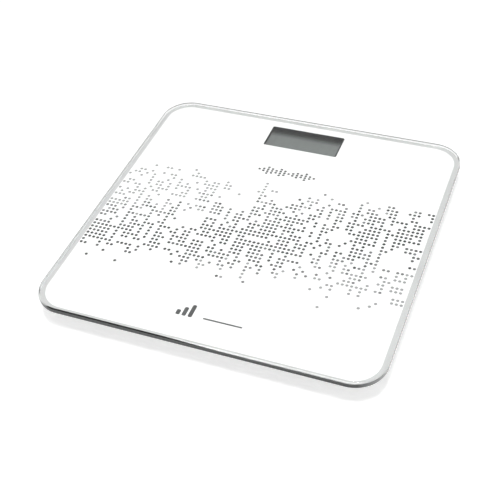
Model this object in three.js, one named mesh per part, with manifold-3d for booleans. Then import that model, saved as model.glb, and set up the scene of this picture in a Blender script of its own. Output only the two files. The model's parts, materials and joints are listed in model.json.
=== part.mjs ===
// Digital bathroom scale with a talking display.
// A tempered glass plate rests on four load cell feet. An electronics module under
// the back edge holds the display, the batteries, the speaker and the controls.
// Millimetres, +Z up. The origin is on the floor under the middle of the plate.
// The front edge faces -Y, and the display is at +Y.

import * as THREE from 'three';
import { mergeVertices } from 'three/addons/utils/BufferGeometryUtils.js';
import Module from 'manifold-3d';

const wasm = await Module();
wasm.setup();

// Glass plate and its back print
const GLASS_SIZE = 300;
const GLASS_THICKNESS = 6;
const GLASS_CORNER = 27;
const ARRIS = 1.2;
const TOTAL_HEIGHT = 22;
const GLASS_BOTTOM = TOTAL_HEIGHT - GLASS_THICKNESS;
const PRINT_MARGIN = 5.5;
const PRINT_SIZE = GLASS_SIZE - 2 * PRINT_MARGIN;
const PRINT_CORNER = 22;
const PRINT_THICKNESS = 0.25;
const PRINT_BOTTOM = GLASS_BOTTOM - PRINT_THICKNESS;

// Electronics module, in its own frame: x and y from the middle of the module
const MODULE_Y = 92;
const MODULE_WIDTH = 164;
const MODULE_DEPTH = 102;
const MODULE_CORNER = 10;
const WALL = 2;
const TOP_PLATE = 1;
const TOP_PLATE_BOTTOM = PRINT_BOTTOM - TOP_PLATE;
const COVER_BOTTOM = 2.5;
const COVER_TOP = 4;
const COVER_CHAMFER = 0.6;
const LIP_THICKNESS = 1.2;
const LIP_TOP = 6;
const CLEARANCE = 0.3;

// Display
const WINDOW_WIDTH = 73;
const WINDOW_DEPTH = 30;
const WINDOW_CORNER = 1.5;
const WINDOW_Y = 29.5;
const LCD_WIDTH = 78;
const LCD_DEPTH = 34;
const LCD_BOTTOM = 10;
const LCD_TOP = 12;
const BEZEL_WALL = 1.4;
const BEZEL_SHOULDER = 13.5;
const ZEBRA_WIDTH = 72;
const ZEBRA_DEPTH = 2;

// Main board
const BOARD_WIDTH = 124;
const BOARD_DEPTH = 44.5;
const BOARD_Y = 26.25;
const BOARD_BOTTOM = 7;
const BOARD_TOP = 8.5;
const BOARD_SCREW = { x: 57, y: 43 };
const BOARD_PEG = { x: 57, y: 16 };
const BOARD_CORNER = 2;
const BOARD_HOLE_RADIUS = 1.3;
const BOARD_POST_RADIUS = 3;
const BOARD_PEG_RADIUS = 2;
const CHIP = { x: 46, y: 26, width: 12.8, depth: 7.5, bottom: 4.8 };
const CHIP_LEGS = { width: 12, depth: 10.2, height: 0.5 };
const BLOB = { x: 26, y: 30, radius: 5, bottom: 5.6 };
const CRYSTAL = { x0: 22, x1: 30, y: 14, radius: 1.25 };

// Batteries: two AAA cells side by side, along X
const CELL_RADIUS = 5.25;
const CELL_LENGTH = 43.5;
const CELL_NUB = 1;
const CELL_NUB_RADIUS = 1.9;
const CELL_Z = 9.45;
const CELL_END = 20.6;
const CELL_FRONT_Y = -42.6;
const CELL_REAR_Y = -31.4;
const CONTACT_THICKNESS = 0.4;
const CONTACT_X = 24.6;
const CONTACT_WIDTH = 8;
const CONTACT_BOTTOM = 5.5;
const CONTACT_TOP = 13;
const CONTACT_BUTTON_RADIUS = 2;
const CONTACT_REACH = 0.1;
const TAB_WIDTH = 2.5;
const TAB_BOTTOM = 11;
const TAB_END = 30;
const TAB_WAY_WIDTH = 3.6;
const BAY_HALF_WIDTH = 25.2;
const BAY_WALL_OUTSIDE = 28;
const BAY_REAR = -25.4;
const BAY_TOP = 13;

// Battery door, which slides out under the front edge of the module
const DOOR_HALF_WIDTH = 24.7;
const DOOR_LIP_HALF_WIDTH = 26.2;
const DOOR_LIP_BOTTOM = 3.5;
const DOOR_LEDGE_TOP = 3.2;
const DOOR_FRONT = -50.7;
const DOOR_REAR = -25.7;
const DOOR_GROOVES = { count: 5, first: 4, pitch: 2, width: 18, depth: 0.9, height: 0.5 };

// Speaker, which faces the floor through a grille
const SPEAKER = { x: 54, y: -29 };
const SPEAKER_RADIUS = 16;
const SPEAKER_BACK = 8.5;
const SPEAKER_SHEET = 0.8;
const SPEAKER_RIM = 1.5;
const GRILLE = { slots: 7, pitch: 3.6, width: 1.6, radius: 12 };
const MAGNET_RADIUS = 8;
const MAGNET_TOP = 11.5;

// Controls on the underside
const UNIT_BUTTON = { x: -46, y: 22 };
const LANGUAGE_BUTTON = { x: -26, y: 22 };
const BUTTON_RADIUS = 3.5;
const BUTTON_BOTTOM = 2.1;
const FLANGE_BOTTOM = 4.3;
const FLANGE_TOP = 4.8;
const FLANGE_WIDTH = 1.2;
const PLUNGER_TOP = 6.1;
const SWITCH_SIZE = 6;
const SWITCH_WELL = { radius: 1.4, top: 6.6 };
const VOLUME_SLIDER = { x: 4, y: 22 };
const SLIDER_SLOT = 12;
const SLIDER_SLOT_DEPTH = 3.8;
const SLIDER_KNOB = { width: 6.4, depth: 3.2, bottom: 2 };
const SLIDER_FLANGE = { width: 17.5, depth: 6 };
const SLIDER_PIN = 1.6;
const SLIDER_RIDGE = { pitch: 2, width: 0.6, height: 0.4 };
const SLIDE_SWITCH = { width: 11, depth: 5, wellWidth: 8, wellDepth: 2.4, wellTop: 6.4 };
const SWITCH_BOTTOM = 5.25;

// Feet, each in its own frame: x points out of the cable notch
const FOOT_OFFSET = 112;
const FRAME_RADIUS = 25;
const FRAME_WALL = 2;
const FRAME_BOTTOM = 3.6;
const FRAME_LEDGE_TOP = 4.8;
const FRAME_LEDGE_RADIUS = 19;
const FRAME_TOP_PLATE = 1.5;
const FRAME_CHAMFER = 0.8;
const FRAME_RIB = { y: 13.5, length: 20, width: 3 };
const FRAME_NOTCH_WIDTH = 14;
const FRAME_NOTCH_GAP = 0.4;
const LEAD_WAY = { start: 9.5, halfWidth: 1.6, bottom: 11.95 };
const CAP_RADIUS = 18.5;
const CAP_BOTTOM = 1;
const CAP_WALL = 2;
const CAP_CHAMFER = 0.5;
const CAP_TAB_WIDTH = 12;
const CAP_TAB_RADIUS = 21.8;
const CAP_TAB_BOTTOM = 5.1;
const CAP_TAB_TOP = 6.3;
const CAP_BOSS_RADIUS = 4;
const CAP_BOSS_TOP = 9.5;
const PAD_RADIUS = 16;
const PAD_TOP = 2.25;
const PAD_CHAMFER = 0.5;
const LOAD_CELL_SIZE = 32;
const LOAD_CELL_CORNER = 4;
const LOAD_CELL_HOLE = { radius: 1.2, inset: 3.5 };
const GAUGE = { x0: 2.5, x1: 9.2, halfWidth: 4 };
const LOAD_CELL_BOTTOM = 10.25;
const LOAD_CELL_TOP = 11.75;
const GAUGE_TOP = 12.6;

// Leads
const SENSOR_LEAD_RADIUS = 1.1;
const SENSOR_LEAD_Z = PRINT_BOTTOM - CLEARANCE - SENSOR_LEAD_RADIUS;
const LEAD_ON_BOARD_Z = BOARD_TOP + CLEARANCE + SENSOR_LEAD_RADIUS;
const THIN_LEAD_RADIUS = 0.8;
const WALL_HOLE_Z = 13;
const REAR_LEAD_Y = FOOT_OFFSET;
const FRONT_LEAD_Y = 72;

// Screws
const COVER_SCREWS = [[-73, -43], [73, -43], [-34, -16], [34, -16], [-73, 43], [73, 43]];
const SCREW_PAD_RADIUS = 4.6;
const SCREW_BOSS_RADIUS = 3.25;
const SCREW_PILOT_RADIUS = 1.5;
const SCREW_HOLE_RADIUS = 1.6;
const COUNTERBORE_RADIUS = 3.1;
const COUNTERBORE_TOP = 4.25;
const COVER_SCREW = { head: 2.75, bottom: 2.75, top: COUNTERBORE_TOP, shank: 1.3, tip: 12 };
const BOARD_FIXING = { head: 2, bottom: 5.75, top: BOARD_BOTTOM, shank: 1, tip: 12.5 };
const BOARD_PILOT_RADIUS = 1.2;
const HEAD_CHAMFER = 0.4;
const RECESS = { reach: 1.3, width: 0.7, depth: 0.7 };

const ROUND_SIDES = 24;
const SMALL_SIDES = 10;
const RADIUS_PER_ARC_STEP = 2;
const LEAD_ARC_STEPS = 3;
const LEAD_STEPS_PER_SPAN = 3;
const CUT_EXTRA = 1;
const MERGE_DISTANCE = 1e-5;

const COLOURS = {
  glass: { color: 0xdfe8e4, roughness: 0.05, metalness: 0 },
  print: { color: 0xf6f6f4, roughness: 0.5, metalness: 0 },
  housing: { color: 0xe6e7e6, roughness: 0.55, metalness: 0 },
  greyPlastic: { color: 0x8d9091, roughness: 0.6, metalness: 0 },
  darkPlastic: { color: 0x232526, roughness: 0.5, metalness: 0 },
  rubber: { color: 0x3a3b3c, roughness: 0.9, metalness: 0 },
  steel: { color: 0xb4b7ba, roughness: 0.35, metalness: 1 },
  nickel: { color: 0xc8c4b8, roughness: 0.3, metalness: 1 },
  lcd: { color: 0x8a928c, roughness: 0.15, metalness: 0 },
  board: { color: 0x2c6b3f, roughness: 0.5, metalness: 0 },
  epoxy: { color: 0x151515, roughness: 0.4, metalness: 0 },
  batterySleeve: { color: 0x3f5f86, roughness: 0.4, metalness: 0.2 },
  magnet: { color: 0x4b4c4e, roughness: 0.5, metalness: 0.6 },
  cone: { color: 0x1e1e1f, roughness: 0.8, metalness: 0 },
  silicone: { color: 0xf0efe8, roughness: 0.5, metalness: 0 },
  lead: { color: 0xd8d8d6, roughness: 0.6, metalness: 0 },
};

// Closed solids from three.js geometry, and back again

function toSolid(geometry) {
  geometry.deleteAttribute('normal');
  geometry.deleteAttribute('uv');
  const merged = mergeVertices(geometry, MERGE_DISTANCE);
  const corners = merged.index.array;
  const triangles = [];
  for (let i = 0; i < corners.length; i += 3) {
    const [a, b, c] = corners.slice(i, i + 3);
    if (a !== b && b !== c && c !== a) triangles.push(a, b, c);
  }
  return new wasm.Manifold(new wasm.Mesh({
    numProp: 3,
    vertProperties: merged.attributes.position.array,
    triVerts: Uint32Array.from(triangles),
  }));
}

function toGeometry(solid) {
  const { vertProperties, triVerts } = solid.getMesh();
  const geometry = new THREE.BufferGeometry();
  geometry.setAttribute('position', new THREE.BufferAttribute(vertProperties, 3));
  geometry.setIndex(new THREE.BufferAttribute(triVerts, 1));
  geometry.computeVertexNormals();
  return geometry;
}

function joined(first, ...others) {
  return others.reduce((whole, piece) => whole.add(piece), first);
}

function cut(whole, ...tools) {
  return tools.reduce((left, tool) => left.subtract(tool), whole);
}

function piece(name, solid, look) {
  const mesh = new THREE.Mesh(toGeometry(solid), new THREE.MeshStandardMaterial(COLOURS[look]));
  mesh.name = name;
  return mesh;
}

// Basic solids

function block(x0, x1, y0, y1, z0, z1) {
  const box = new THREE.BoxGeometry(x1 - x0, y1 - y0, z1 - z0);
  return toSolid(box.translate((x0 + x1) / 2, (y0 + y1) / 2, (z0 + z1) / 2));
}

function blockAt(x, y, width, depth, bottom, top) {
  return block(x - width / 2, x + width / 2, y - depth / 2, y + depth / 2, bottom, top);
}

function disc(radius, bottom, top, x = 0, y = 0, sides = ROUND_SIDES) {
  const cylinder = new THREE.CylinderGeometry(radius, radius, top - bottom, sides);
  return toSolid(cylinder.rotateX(Math.PI / 2).translate(x, y, (bottom + top) / 2));
}

function rodAlongX(radius, x0, x1, y, z, sides = ROUND_SIDES) {
  const cylinder = new THREE.CylinderGeometry(radius, radius, x1 - x0, sides);
  return toSolid(cylinder.rotateZ(Math.PI / 2).translate((x0 + x1) / 2, y, z));
}

// A solid of revolution about Z, from [radius, height] points that run up the outside
function turned(points, x = 0, y = 0, sides = ROUND_SIDES) {
  const profile = points.map(([radius, height]) => new THREE.Vector2(radius, height));
  const lathe = new THREE.LatheGeometry(profile, sides);
  return toSolid(lathe.rotateX(Math.PI / 2).translate(x, y, 0));
}

function roundedOutline(width, depth, radius) {
  const x = width / 2 - radius;
  const y = depth / 2 - radius;
  const quarter = Math.PI / 2;
  const shape = new THREE.Shape();
  shape.absarc(x, y, radius, 0, quarter);
  shape.absarc(-x, y, radius, quarter, 2 * quarter);
  shape.absarc(-x, -y, radius, 2 * quarter, 3 * quarter);
  shape.absarc(x, -y, radius, 3 * quarter, 4 * quarter);
  shape.closePath();
  return shape;
}

function arcSteps(radius) {
  return Math.ceil(radius / RADIUS_PER_ARC_STEP);
}

function roundedSlab(width, depth, radius, bottom, top, y = 0) {
  const shape = roundedOutline(width, depth, radius);
  const options = { depth: top - bottom, bevelEnabled: false, curveSegments: arcSteps(radius) };
  return toSolid(new THREE.ExtrudeGeometry(shape, options).translate(0, y, bottom));
}

// A rounded slab whose top and bottom edges are chamfered at 45 degrees
function chamferedSlab(width, depth, radius, bottom, top, chamfer) {
  const shape = roundedOutline(width, depth, radius);
  const options = {
    depth: top - bottom - 2 * chamfer,
    bevelThickness: chamfer,
    bevelSize: chamfer,
    bevelOffset: -chamfer,
    bevelSegments: 1,
    curveSegments: arcSteps(radius),
  };
  return toSolid(new THREE.ExtrudeGeometry(shape, options).translate(0, 0, bottom + chamfer));
}

function lead(points, radius) {
  const route = new THREE.CatmullRomCurve3(points.map((point) => new THREE.Vector3(...point)));
  const section = new THREE.Shape();
  section.absarc(0, 0, radius, 0, 2 * Math.PI);
  const options = {
    extrudePath: route,
    steps: (points.length - 1) * LEAD_STEPS_PER_SPAN,
    curveSegments: LEAD_ARC_STEPS,
  };
  return toSolid(new THREE.ExtrudeGeometry(section, options));
}

// A conical wire spring along X, from a wide turn at x0 to a narrow turn at x1
function coilSpring(x0, x1, y, z) {
  const turns = 3.5;
  const wireRadius = 0.3;
  const wideRadius = 3;
  const narrowRadius = 2;
  const stepsPerTurn = 8;
  class Coil extends THREE.Curve {
    getPoint(t) {
      const angle = 2 * Math.PI * turns * t;
      const radius = THREE.MathUtils.lerp(wideRadius, narrowRadius, t);
      const x = THREE.MathUtils.lerp(x0, x1, t);
      return new THREE.Vector3(x, y + radius * Math.cos(angle), z + radius * Math.sin(angle));
    }
  }
  const section = new THREE.Shape();
  section.absarc(0, 0, wireRadius, 0, 2 * Math.PI);
  const options = { extrudePath: new Coil(), steps: turns * stepsPerTurn, curveSegments: 2 };
  return toSolid(new THREE.ExtrudeGeometry(section, options));
}

// Glass plate and print

function glassPlatform() {
  const solid = chamferedSlab(GLASS_SIZE, GLASS_SIZE, GLASS_CORNER, GLASS_BOTTOM, TOTAL_HEIGHT, ARRIS);
  return piece('glass_platform', solid, 'glass');
}

function backPrint() {
  const film = roundedSlab(PRINT_SIZE, PRINT_SIZE, PRINT_CORNER, PRINT_BOTTOM, GLASS_BOTTOM);
  const window = roundedSlab(
    WINDOW_WIDTH, WINDOW_DEPTH, WINDOW_CORNER,
    PRINT_BOTTOM - CUT_EXTRA, GLASS_BOTTOM + CUT_EXTRA, MODULE_Y + WINDOW_Y,
  );
  return piece('back_print', cut(film, window), 'print');
}

// Electronics module

function displayHousing() {
  const inside = MODULE_CORNER - WALL;
  let solid = cut(
    roundedSlab(MODULE_WIDTH, MODULE_DEPTH, MODULE_CORNER, COVER_TOP, PRINT_BOTTOM),
    roundedSlab(
      MODULE_WIDTH - 2 * WALL, MODULE_DEPTH - 2 * WALL, inside,
      COVER_TOP - CUT_EXTRA, TOP_PLATE_BOTTOM,
    ),
  );
  for (const [x, y] of COVER_SCREWS) {
    const boss = disc(SCREW_BOSS_RADIUS, LIP_TOP, TOP_PLATE_BOTTOM + TOP_PLATE / 2, x, y, SMALL_SIDES);
    solid = solid.add(boss);
  }
  for (const side of [-1, 1]) {
    const postTop = TOP_PLATE_BOTTOM + TOP_PLATE / 2;
    const [postX, pegX] = [side * BOARD_SCREW.x, side * BOARD_PEG.x];
    solid = solid.add(disc(BOARD_POST_RADIUS, BOARD_TOP, postTop, postX, BOARD_SCREW.y, SMALL_SIDES));
    solid = solid.add(disc(BOARD_PEG_RADIUS, BOARD_TOP, postTop, pegX, BOARD_PEG.y, SMALL_SIDES));
  }
  return piece('display_housing', cut(solid, ...housingOpenings()), 'housing');
}

function housingOpenings() {
  const openings = [roundedSlab(
    WINDOW_WIDTH + 2 * BEZEL_WALL + 2 * CLEARANCE, WINDOW_DEPTH + 2 * BEZEL_WALL + 2 * CLEARANCE,
    WINDOW_CORNER, TOP_PLATE_BOTTOM - CUT_EXTRA, PRINT_BOTTOM + CUT_EXTRA, WINDOW_Y,
  )];
  for (const [x, y] of COVER_SCREWS) {
    openings.push(disc(
      SCREW_PILOT_RADIUS, LIP_TOP - CUT_EXTRA, TOP_PLATE_BOTTOM - CUT_EXTRA, x, y, SMALL_SIDES,
    ));
  }
  const holeRadius = SENSOR_LEAD_RADIUS + 2 * CLEARANCE;
  const outside = MODULE_WIDTH / 2 + CUT_EXTRA;
  for (const side of [-1, 1]) {
    openings.push(disc(
      BOARD_PILOT_RADIUS, BOARD_TOP - CUT_EXTRA, TOP_PLATE_BOTTOM - CUT_EXTRA,
      side * BOARD_SCREW.x, BOARD_SCREW.y, SMALL_SIDES,
    ));
    for (const y of [REAR_LEAD_Y - MODULE_Y, FRONT_LEAD_Y - MODULE_Y]) {
      const [x0, x1] = [side * outside, side * (outside - WALL - 2 * CUT_EXTRA)].sort((a, b) => a - b);
      openings.push(rodAlongX(holeRadius, x0, x1, y, WALL_HOLE_Z, SMALL_SIDES));
    }
  }
  const doorWay = DOOR_LIP_HALF_WIDTH + CLEARANCE;
  openings.push(block(
    -doorWay, doorWay, -MODULE_DEPTH / 2 - CUT_EXTRA, -MODULE_DEPTH / 2 + WALL + CUT_EXTRA,
    COVER_TOP - CUT_EXTRA, COVER_TOP + CLEARANCE,
  ));
  return openings;
}

function lowerCover() {
  const plate = chamferedSlab(
    MODULE_WIDTH, MODULE_DEPTH, MODULE_CORNER, COVER_BOTTOM, COVER_TOP + COVER_CHAMFER, COVER_CHAMFER,
  );
  const above = roundedSlab(
    MODULE_WIDTH + 2 * CUT_EXTRA, MODULE_DEPTH + 2 * CUT_EXTRA, MODULE_CORNER,
    COVER_TOP, COVER_TOP + 2 * CUT_EXTRA,
  );
  let solid = cut(plate, above).add(locatingLip());
  for (const [x, y] of COVER_SCREWS) {
    solid = solid.add(disc(SCREW_PAD_RADIUS, COVER_TOP - CUT_EXTRA / 2, LIP_TOP, x, y, SMALL_SIDES));
  }
  solid = joined(solid, speakerCollar(), ...bayWalls());
  return piece('lower_cover', cut(solid, ...coverOpenings()), 'housing');
}

function locatingLip() {
  const gap = 2 * (WALL + CLEARANCE);
  const corner = MODULE_CORNER - WALL - CLEARANCE;
  return cut(
    roundedSlab(MODULE_WIDTH - gap, MODULE_DEPTH - gap, corner, COVER_TOP - CUT_EXTRA / 2, LIP_TOP),
    roundedSlab(
      MODULE_WIDTH - gap - 2 * LIP_THICKNESS, MODULE_DEPTH - gap - 2 * LIP_THICKNESS,
      corner - LIP_THICKNESS, COVER_TOP - CUT_EXTRA, LIP_TOP + CUT_EXTRA,
    ),
    block(
      -BAY_WALL_OUTSIDE, BAY_WALL_OUTSIDE, -MODULE_DEPTH / 2, -MODULE_DEPTH / 2 + 2 * gap,
      COVER_TOP - CUT_EXTRA, LIP_TOP + CUT_EXTRA,
    ),
  );
}

function speakerCollar() {
  const inner = SPEAKER_RADIUS + CLEARANCE;
  return cut(
    disc(inner + LIP_THICKNESS, COVER_TOP - CUT_EXTRA / 2, LIP_TOP, SPEAKER.x, SPEAKER.y),
    disc(inner, COVER_TOP - CUT_EXTRA, LIP_TOP + CUT_EXTRA, SPEAKER.x, SPEAKER.y),
  );
}

// The side walls overhang the door's lips, so that the door can only slide
function bayWalls() {
  const front = -MODULE_DEPTH / 2 + WALL + CLEARANCE;
  const rear = BAY_REAR + LIP_THICKNESS;
  const solids = [block(
    -BAY_WALL_OUTSIDE, BAY_WALL_OUTSIDE, BAY_REAR, rear, COVER_TOP - CUT_EXTRA / 2, BAY_TOP,
  )];
  const overhang = DOOR_LIP_HALF_WIDTH + CLEARANCE;
  for (const side of [-1, 1]) {
    const [x0, x1] = [side * BAY_HALF_WIDTH, side * BAY_WALL_OUTSIDE].sort((a, b) => a - b);
    const wall = block(x0, x1, front, rear, COVER_TOP + CLEARANCE, BAY_TOP);
    const [f0, f1] = [side * overhang, side * BAY_WALL_OUTSIDE].sort((a, b) => a - b);
    solids.push(wall.add(block(f0, f1, front, rear, COVER_TOP - CUT_EXTRA / 2, BAY_TOP)));
  }
  return solids;
}

function coverOpenings() {
  const below = COVER_BOTTOM - CUT_EXTRA;
  const above = COVER_TOP + CLEARANCE;
  const front = -MODULE_DEPTH / 2 - CUT_EXTRA;
  const doorWay = DOOR_HALF_WIDTH + CLEARANCE;
  const lipWay = DOOR_LIP_HALF_WIDTH + CLEARANCE;
  const openings = [
    block(-doorWay, doorWay, front, BAY_REAR, below, above),
    block(-lipWay, lipWay, front, BAY_REAR, DOOR_LEDGE_TOP, above),
  ];
  for (const [x, y] of COVER_SCREWS) {
    openings.push(disc(COUNTERBORE_RADIUS, below, COUNTERBORE_TOP, x, y, SMALL_SIDES));
    openings.push(disc(SCREW_HOLE_RADIUS, below, LIP_TOP + CUT_EXTRA, x, y, SMALL_SIDES));
  }
  for (const { x, y } of [UNIT_BUTTON, LANGUAGE_BUTTON]) {
    openings.push(disc(BUTTON_RADIUS + CLEARANCE, below, above, x, y));
  }
  const { x, y } = VOLUME_SLIDER;
  openings.push(blockAt(x, y, SLIDER_SLOT, SLIDER_SLOT_DEPTH, below, above));
  openings.push(...tabWays(), ...grilleSlots(below, above));
  return openings;
}

// Notches in the right bay wall, for the solder tabs of the two end contacts
function tabWays() {
  const halfWay = TAB_WAY_WIDTH / 2;
  return [CELL_FRONT_Y, CELL_REAR_Y].map((y) => block(
    BAY_HALF_WIDTH - CUT_EXTRA, BAY_WALL_OUTSIDE + CUT_EXTRA, y - halfWay, y + halfWay,
    TAB_BOTTOM - 0.5, BAY_TOP + CUT_EXTRA,
  ));
}

function grilleSlots(bottom, top) {
  const slots = [];
  for (let i = 0; i < GRILLE.slots; i += 1) {
    const x = (i - (GRILLE.slots - 1) / 2) * GRILLE.pitch;
    const length = 2 * Math.sqrt(GRILLE.radius ** 2 - x ** 2);
    slots.push(blockAt(SPEAKER.x + x, SPEAKER.y, GRILLE.width, length, bottom, top));
  }
  return slots;
}

function batteryDoor() {
  const plate = block(-DOOR_HALF_WIDTH, DOOR_HALF_WIDTH, DOOR_FRONT, DOOR_REAR, COVER_BOTTOM, COVER_TOP);
  const lips = block(
    -DOOR_LIP_HALF_WIDTH, DOOR_LIP_HALF_WIDTH, DOOR_FRONT, DOOR_REAR, DOOR_LIP_BOTTOM, COVER_TOP,
  );
  const grooves = [];
  const { count, first, pitch, width, depth, height } = DOOR_GROOVES;
  for (let i = 0; i < count; i += 1) {
    const y = DOOR_FRONT + first + pitch * i;
    grooves.push(blockAt(0, y, width, depth, COVER_BOTTOM - CUT_EXTRA, COVER_BOTTOM + height));
  }
  return piece('battery_door', cut(plate.add(lips), ...grooves), 'housing');
}

// The front cell's positive end is at +X, and the rear cell's is at -X
function battery(name, y, direction) {
  const can = rodAlongX(CELL_RADIUS, -CELL_END, -CELL_END + CELL_LENGTH, 0, 0);
  const nubEnd = -CELL_END + CELL_LENGTH + CELL_NUB;
  const nub = rodAlongX(CELL_NUB_RADIUS, nubEnd - 2 * CELL_NUB, nubEnd, 0, 0, SMALL_SIDES);
  const mesh = piece(name, can.add(nub), 'batterySleeve');
  mesh.position.set(0, y, CELL_Z);
  mesh.rotation.z = direction > 0 ? 0 : Math.PI;
  return mesh;
}

// A contact plate at +X. With a spring it meets a cell's negative end, else its nub.
function contactPlate(y, withSpring) {
  const inner = CONTACT_X;
  const middle = inner + CONTACT_THICKNESS / 2;
  const plate = blockAt(middle, y, CONTACT_THICKNESS, CONTACT_WIDTH, CONTACT_BOTTOM, CONTACT_TOP);
  if (withSpring) {
    return plate.add(coilSpring(middle, CELL_END + CONTACT_REACH + CLEARANCE, y, CELL_Z));
  }
  const nubEnd = -CELL_END + CELL_LENGTH + CELL_NUB;
  return plate.add(rodAlongX(
    CONTACT_BUTTON_RADIUS, nubEnd + CONTACT_REACH, middle, y, CELL_Z, SMALL_SIDES,
  ));
}

function solderTab(y) {
  return block(
    CONTACT_X, TAB_END, y - TAB_WIDTH / 2, y + TAB_WIDTH / 2, TAB_BOTTOM, TAB_BOTTOM + CONTACT_THICKNESS,
  );
}

function batteryContacts() {
  const positive = contactPlate(CELL_FRONT_Y, false).add(solderTab(CELL_FRONT_Y));
  const negative = contactPlate(CELL_REAR_Y, true).add(solderTab(CELL_REAR_Y));
  const strap = block(
    CONTACT_X, CONTACT_X + CONTACT_THICKNESS, -CELL_REAR_Y - 1, -CELL_FRONT_Y + 1,
    CONTACT_BOTTOM, CONTACT_TOP,
  );
  const bridge = joined(contactPlate(-CELL_REAR_Y, false), contactPlate(-CELL_FRONT_Y, true), strap);
  const bridgeMesh = piece('bridge_contact', bridge, 'nickel');
  bridgeMesh.rotation.z = Math.PI;
  return [
    piece('positive_contact', positive, 'nickel'),
    piece('negative_contact', negative, 'nickel'),
    bridgeMesh,
  ];
}

function lcdPanel() {
  const solid = blockAt(0, WINDOW_Y, LCD_WIDTH, LCD_DEPTH, LCD_BOTTOM, LCD_TOP);
  return piece('lcd_panel', solid, 'lcd');
}

function lcdBezel() {
  const skirtWidth = LCD_WIDTH + 2 * (CLEARANCE + BEZEL_WALL);
  const skirtDepth = LCD_DEPTH + 2 * (CLEARANCE + BEZEL_WALL);
  const solid = joined(
    blockAt(0, WINDOW_Y, skirtWidth, skirtDepth, BOARD_TOP, BEZEL_SHOULDER),
    roundedSlab(
      WINDOW_WIDTH + 2 * BEZEL_WALL, WINDOW_DEPTH + 2 * BEZEL_WALL, WINDOW_CORNER,
      BEZEL_SHOULDER - CUT_EXTRA, PRINT_BOTTOM, WINDOW_Y,
    ),
  );
  const pocket = blockAt(
    0, WINDOW_Y, LCD_WIDTH + 2 * CLEARANCE, LCD_DEPTH + 2 * CLEARANCE, BOARD_TOP - CUT_EXTRA, LCD_TOP,
  );
  const window = roundedSlab(
    WINDOW_WIDTH, WINDOW_DEPTH, WINDOW_CORNER, BOARD_TOP, PRINT_BOTTOM + CUT_EXTRA, WINDOW_Y,
  );
  return piece('lcd_bezel', cut(solid, pocket, window), 'darkPlastic');
}

function zebraStrip() {
  const y = WINDOW_Y - LCD_DEPTH / 2 + ZEBRA_DEPTH;
  return piece('zebra_strip', blockAt(0, y, ZEBRA_WIDTH, ZEBRA_DEPTH, BOARD_TOP, LCD_BOTTOM), 'rubber');
}

function mainBoard() {
  let solid = roundedSlab(BOARD_WIDTH, BOARD_DEPTH, BOARD_CORNER, BOARD_BOTTOM, BOARD_TOP, BOARD_Y);
  for (const side of [-1, 1]) {
    const hole = disc(
      BOARD_HOLE_RADIUS, BOARD_BOTTOM - CUT_EXTRA, BOARD_TOP + CUT_EXTRA,
      side * BOARD_SCREW.x, BOARD_SCREW.y, SMALL_SIDES,
    );
    solid = solid.subtract(hole);
  }
  return piece('main_board', solid, 'board');
}

function boardParts() {
  const { radius, bottom } = BLOB;
  const blob = turned([
    [0, bottom], [0.52 * radius, bottom + 0.15], [0.88 * radius, bottom + 0.7],
    [radius, BOARD_BOTTOM], [0, BOARD_BOTTOM],
  ], BLOB.x, BLOB.y);
  const legsBottom = BOARD_BOTTOM - CHIP_LEGS.height;
  const body = blockAt(
    CHIP.x, CHIP.y, CHIP.width, CHIP.depth, CHIP.bottom, BOARD_BOTTOM - CHIP_LEGS.height / 2,
  );
  const legs = blockAt(CHIP.x, CHIP.y, CHIP_LEGS.width, CHIP_LEGS.depth, legsBottom, BOARD_BOTTOM);
  const crystal = rodAlongX(
    CRYSTAL.radius, CRYSTAL.x0, CRYSTAL.x1, CRYSTAL.y, BOARD_BOTTOM - CRYSTAL.radius - 0.1, SMALL_SIDES,
  );
  return [
    piece('processor_blob', blob, 'epoxy'),
    piece('speech_chip', body.add(legs), 'epoxy'),
    piece('crystal', crystal, 'steel'),
  ];
}

function speaker() {
  const mouth = SPEAKER_RADIUS - SPEAKER_RIM;
  const basket = turned([
    [mouth, COVER_TOP],
    [SPEAKER_RADIUS, COVER_TOP],
    [SPEAKER_RADIUS, COVER_TOP + 1],
    [SPEAKER_RADIUS - 1, COVER_TOP + 1],
    [MAGNET_RADIUS + 2, SPEAKER_BACK],
    [0, SPEAKER_BACK],
    [0, SPEAKER_BACK - SPEAKER_SHEET],
    [MAGNET_RADIUS + 1.5, SPEAKER_BACK - SPEAKER_SHEET],
    [mouth, COVER_TOP + SPEAKER_SHEET],
    [mouth, COVER_TOP],
  ], SPEAKER.x, SPEAKER.y);
  const magnet = disc(MAGNET_RADIUS, SPEAKER_BACK, MAGNET_TOP, SPEAKER.x, SPEAKER.y);
  const cone = turned([
    [0, 5.2], [3, 5.35], [4.5, 5.8], [SPEAKER_RADIUS - 3, 4.4], [SPEAKER_RADIUS - 1.9, 4.3],
    [SPEAKER_RADIUS - 1.9, 4.8], [SPEAKER_RADIUS - 3.2, 4.9], [5, 6.6], [0, 6.6],
  ], SPEAKER.x, SPEAKER.y);
  return [
    piece('speaker_frame', basket, 'steel'),
    piece('speaker_magnet', magnet, 'magnet'),
    piece('speaker_cone', cone, 'cone'),
  ];
}

function pushButton(name, { x, y }) {
  const solid = turned([
    [0, BUTTON_BOTTOM], [BUTTON_RADIUS - HEAD_CHAMFER, BUTTON_BOTTOM],
    [BUTTON_RADIUS, BUTTON_BOTTOM + HEAD_CHAMFER], [BUTTON_RADIUS, FLANGE_BOTTOM],
    [BUTTON_RADIUS + FLANGE_WIDTH, FLANGE_BOTTOM], [BUTTON_RADIUS + FLANGE_WIDTH, FLANGE_TOP],
    [1, FLANGE_TOP], [1, PLUNGER_TOP], [0, PLUNGER_TOP],
  ], x, y, 2 * SMALL_SIDES);
  return piece(name, solid, 'greyPlastic');
}

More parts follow.
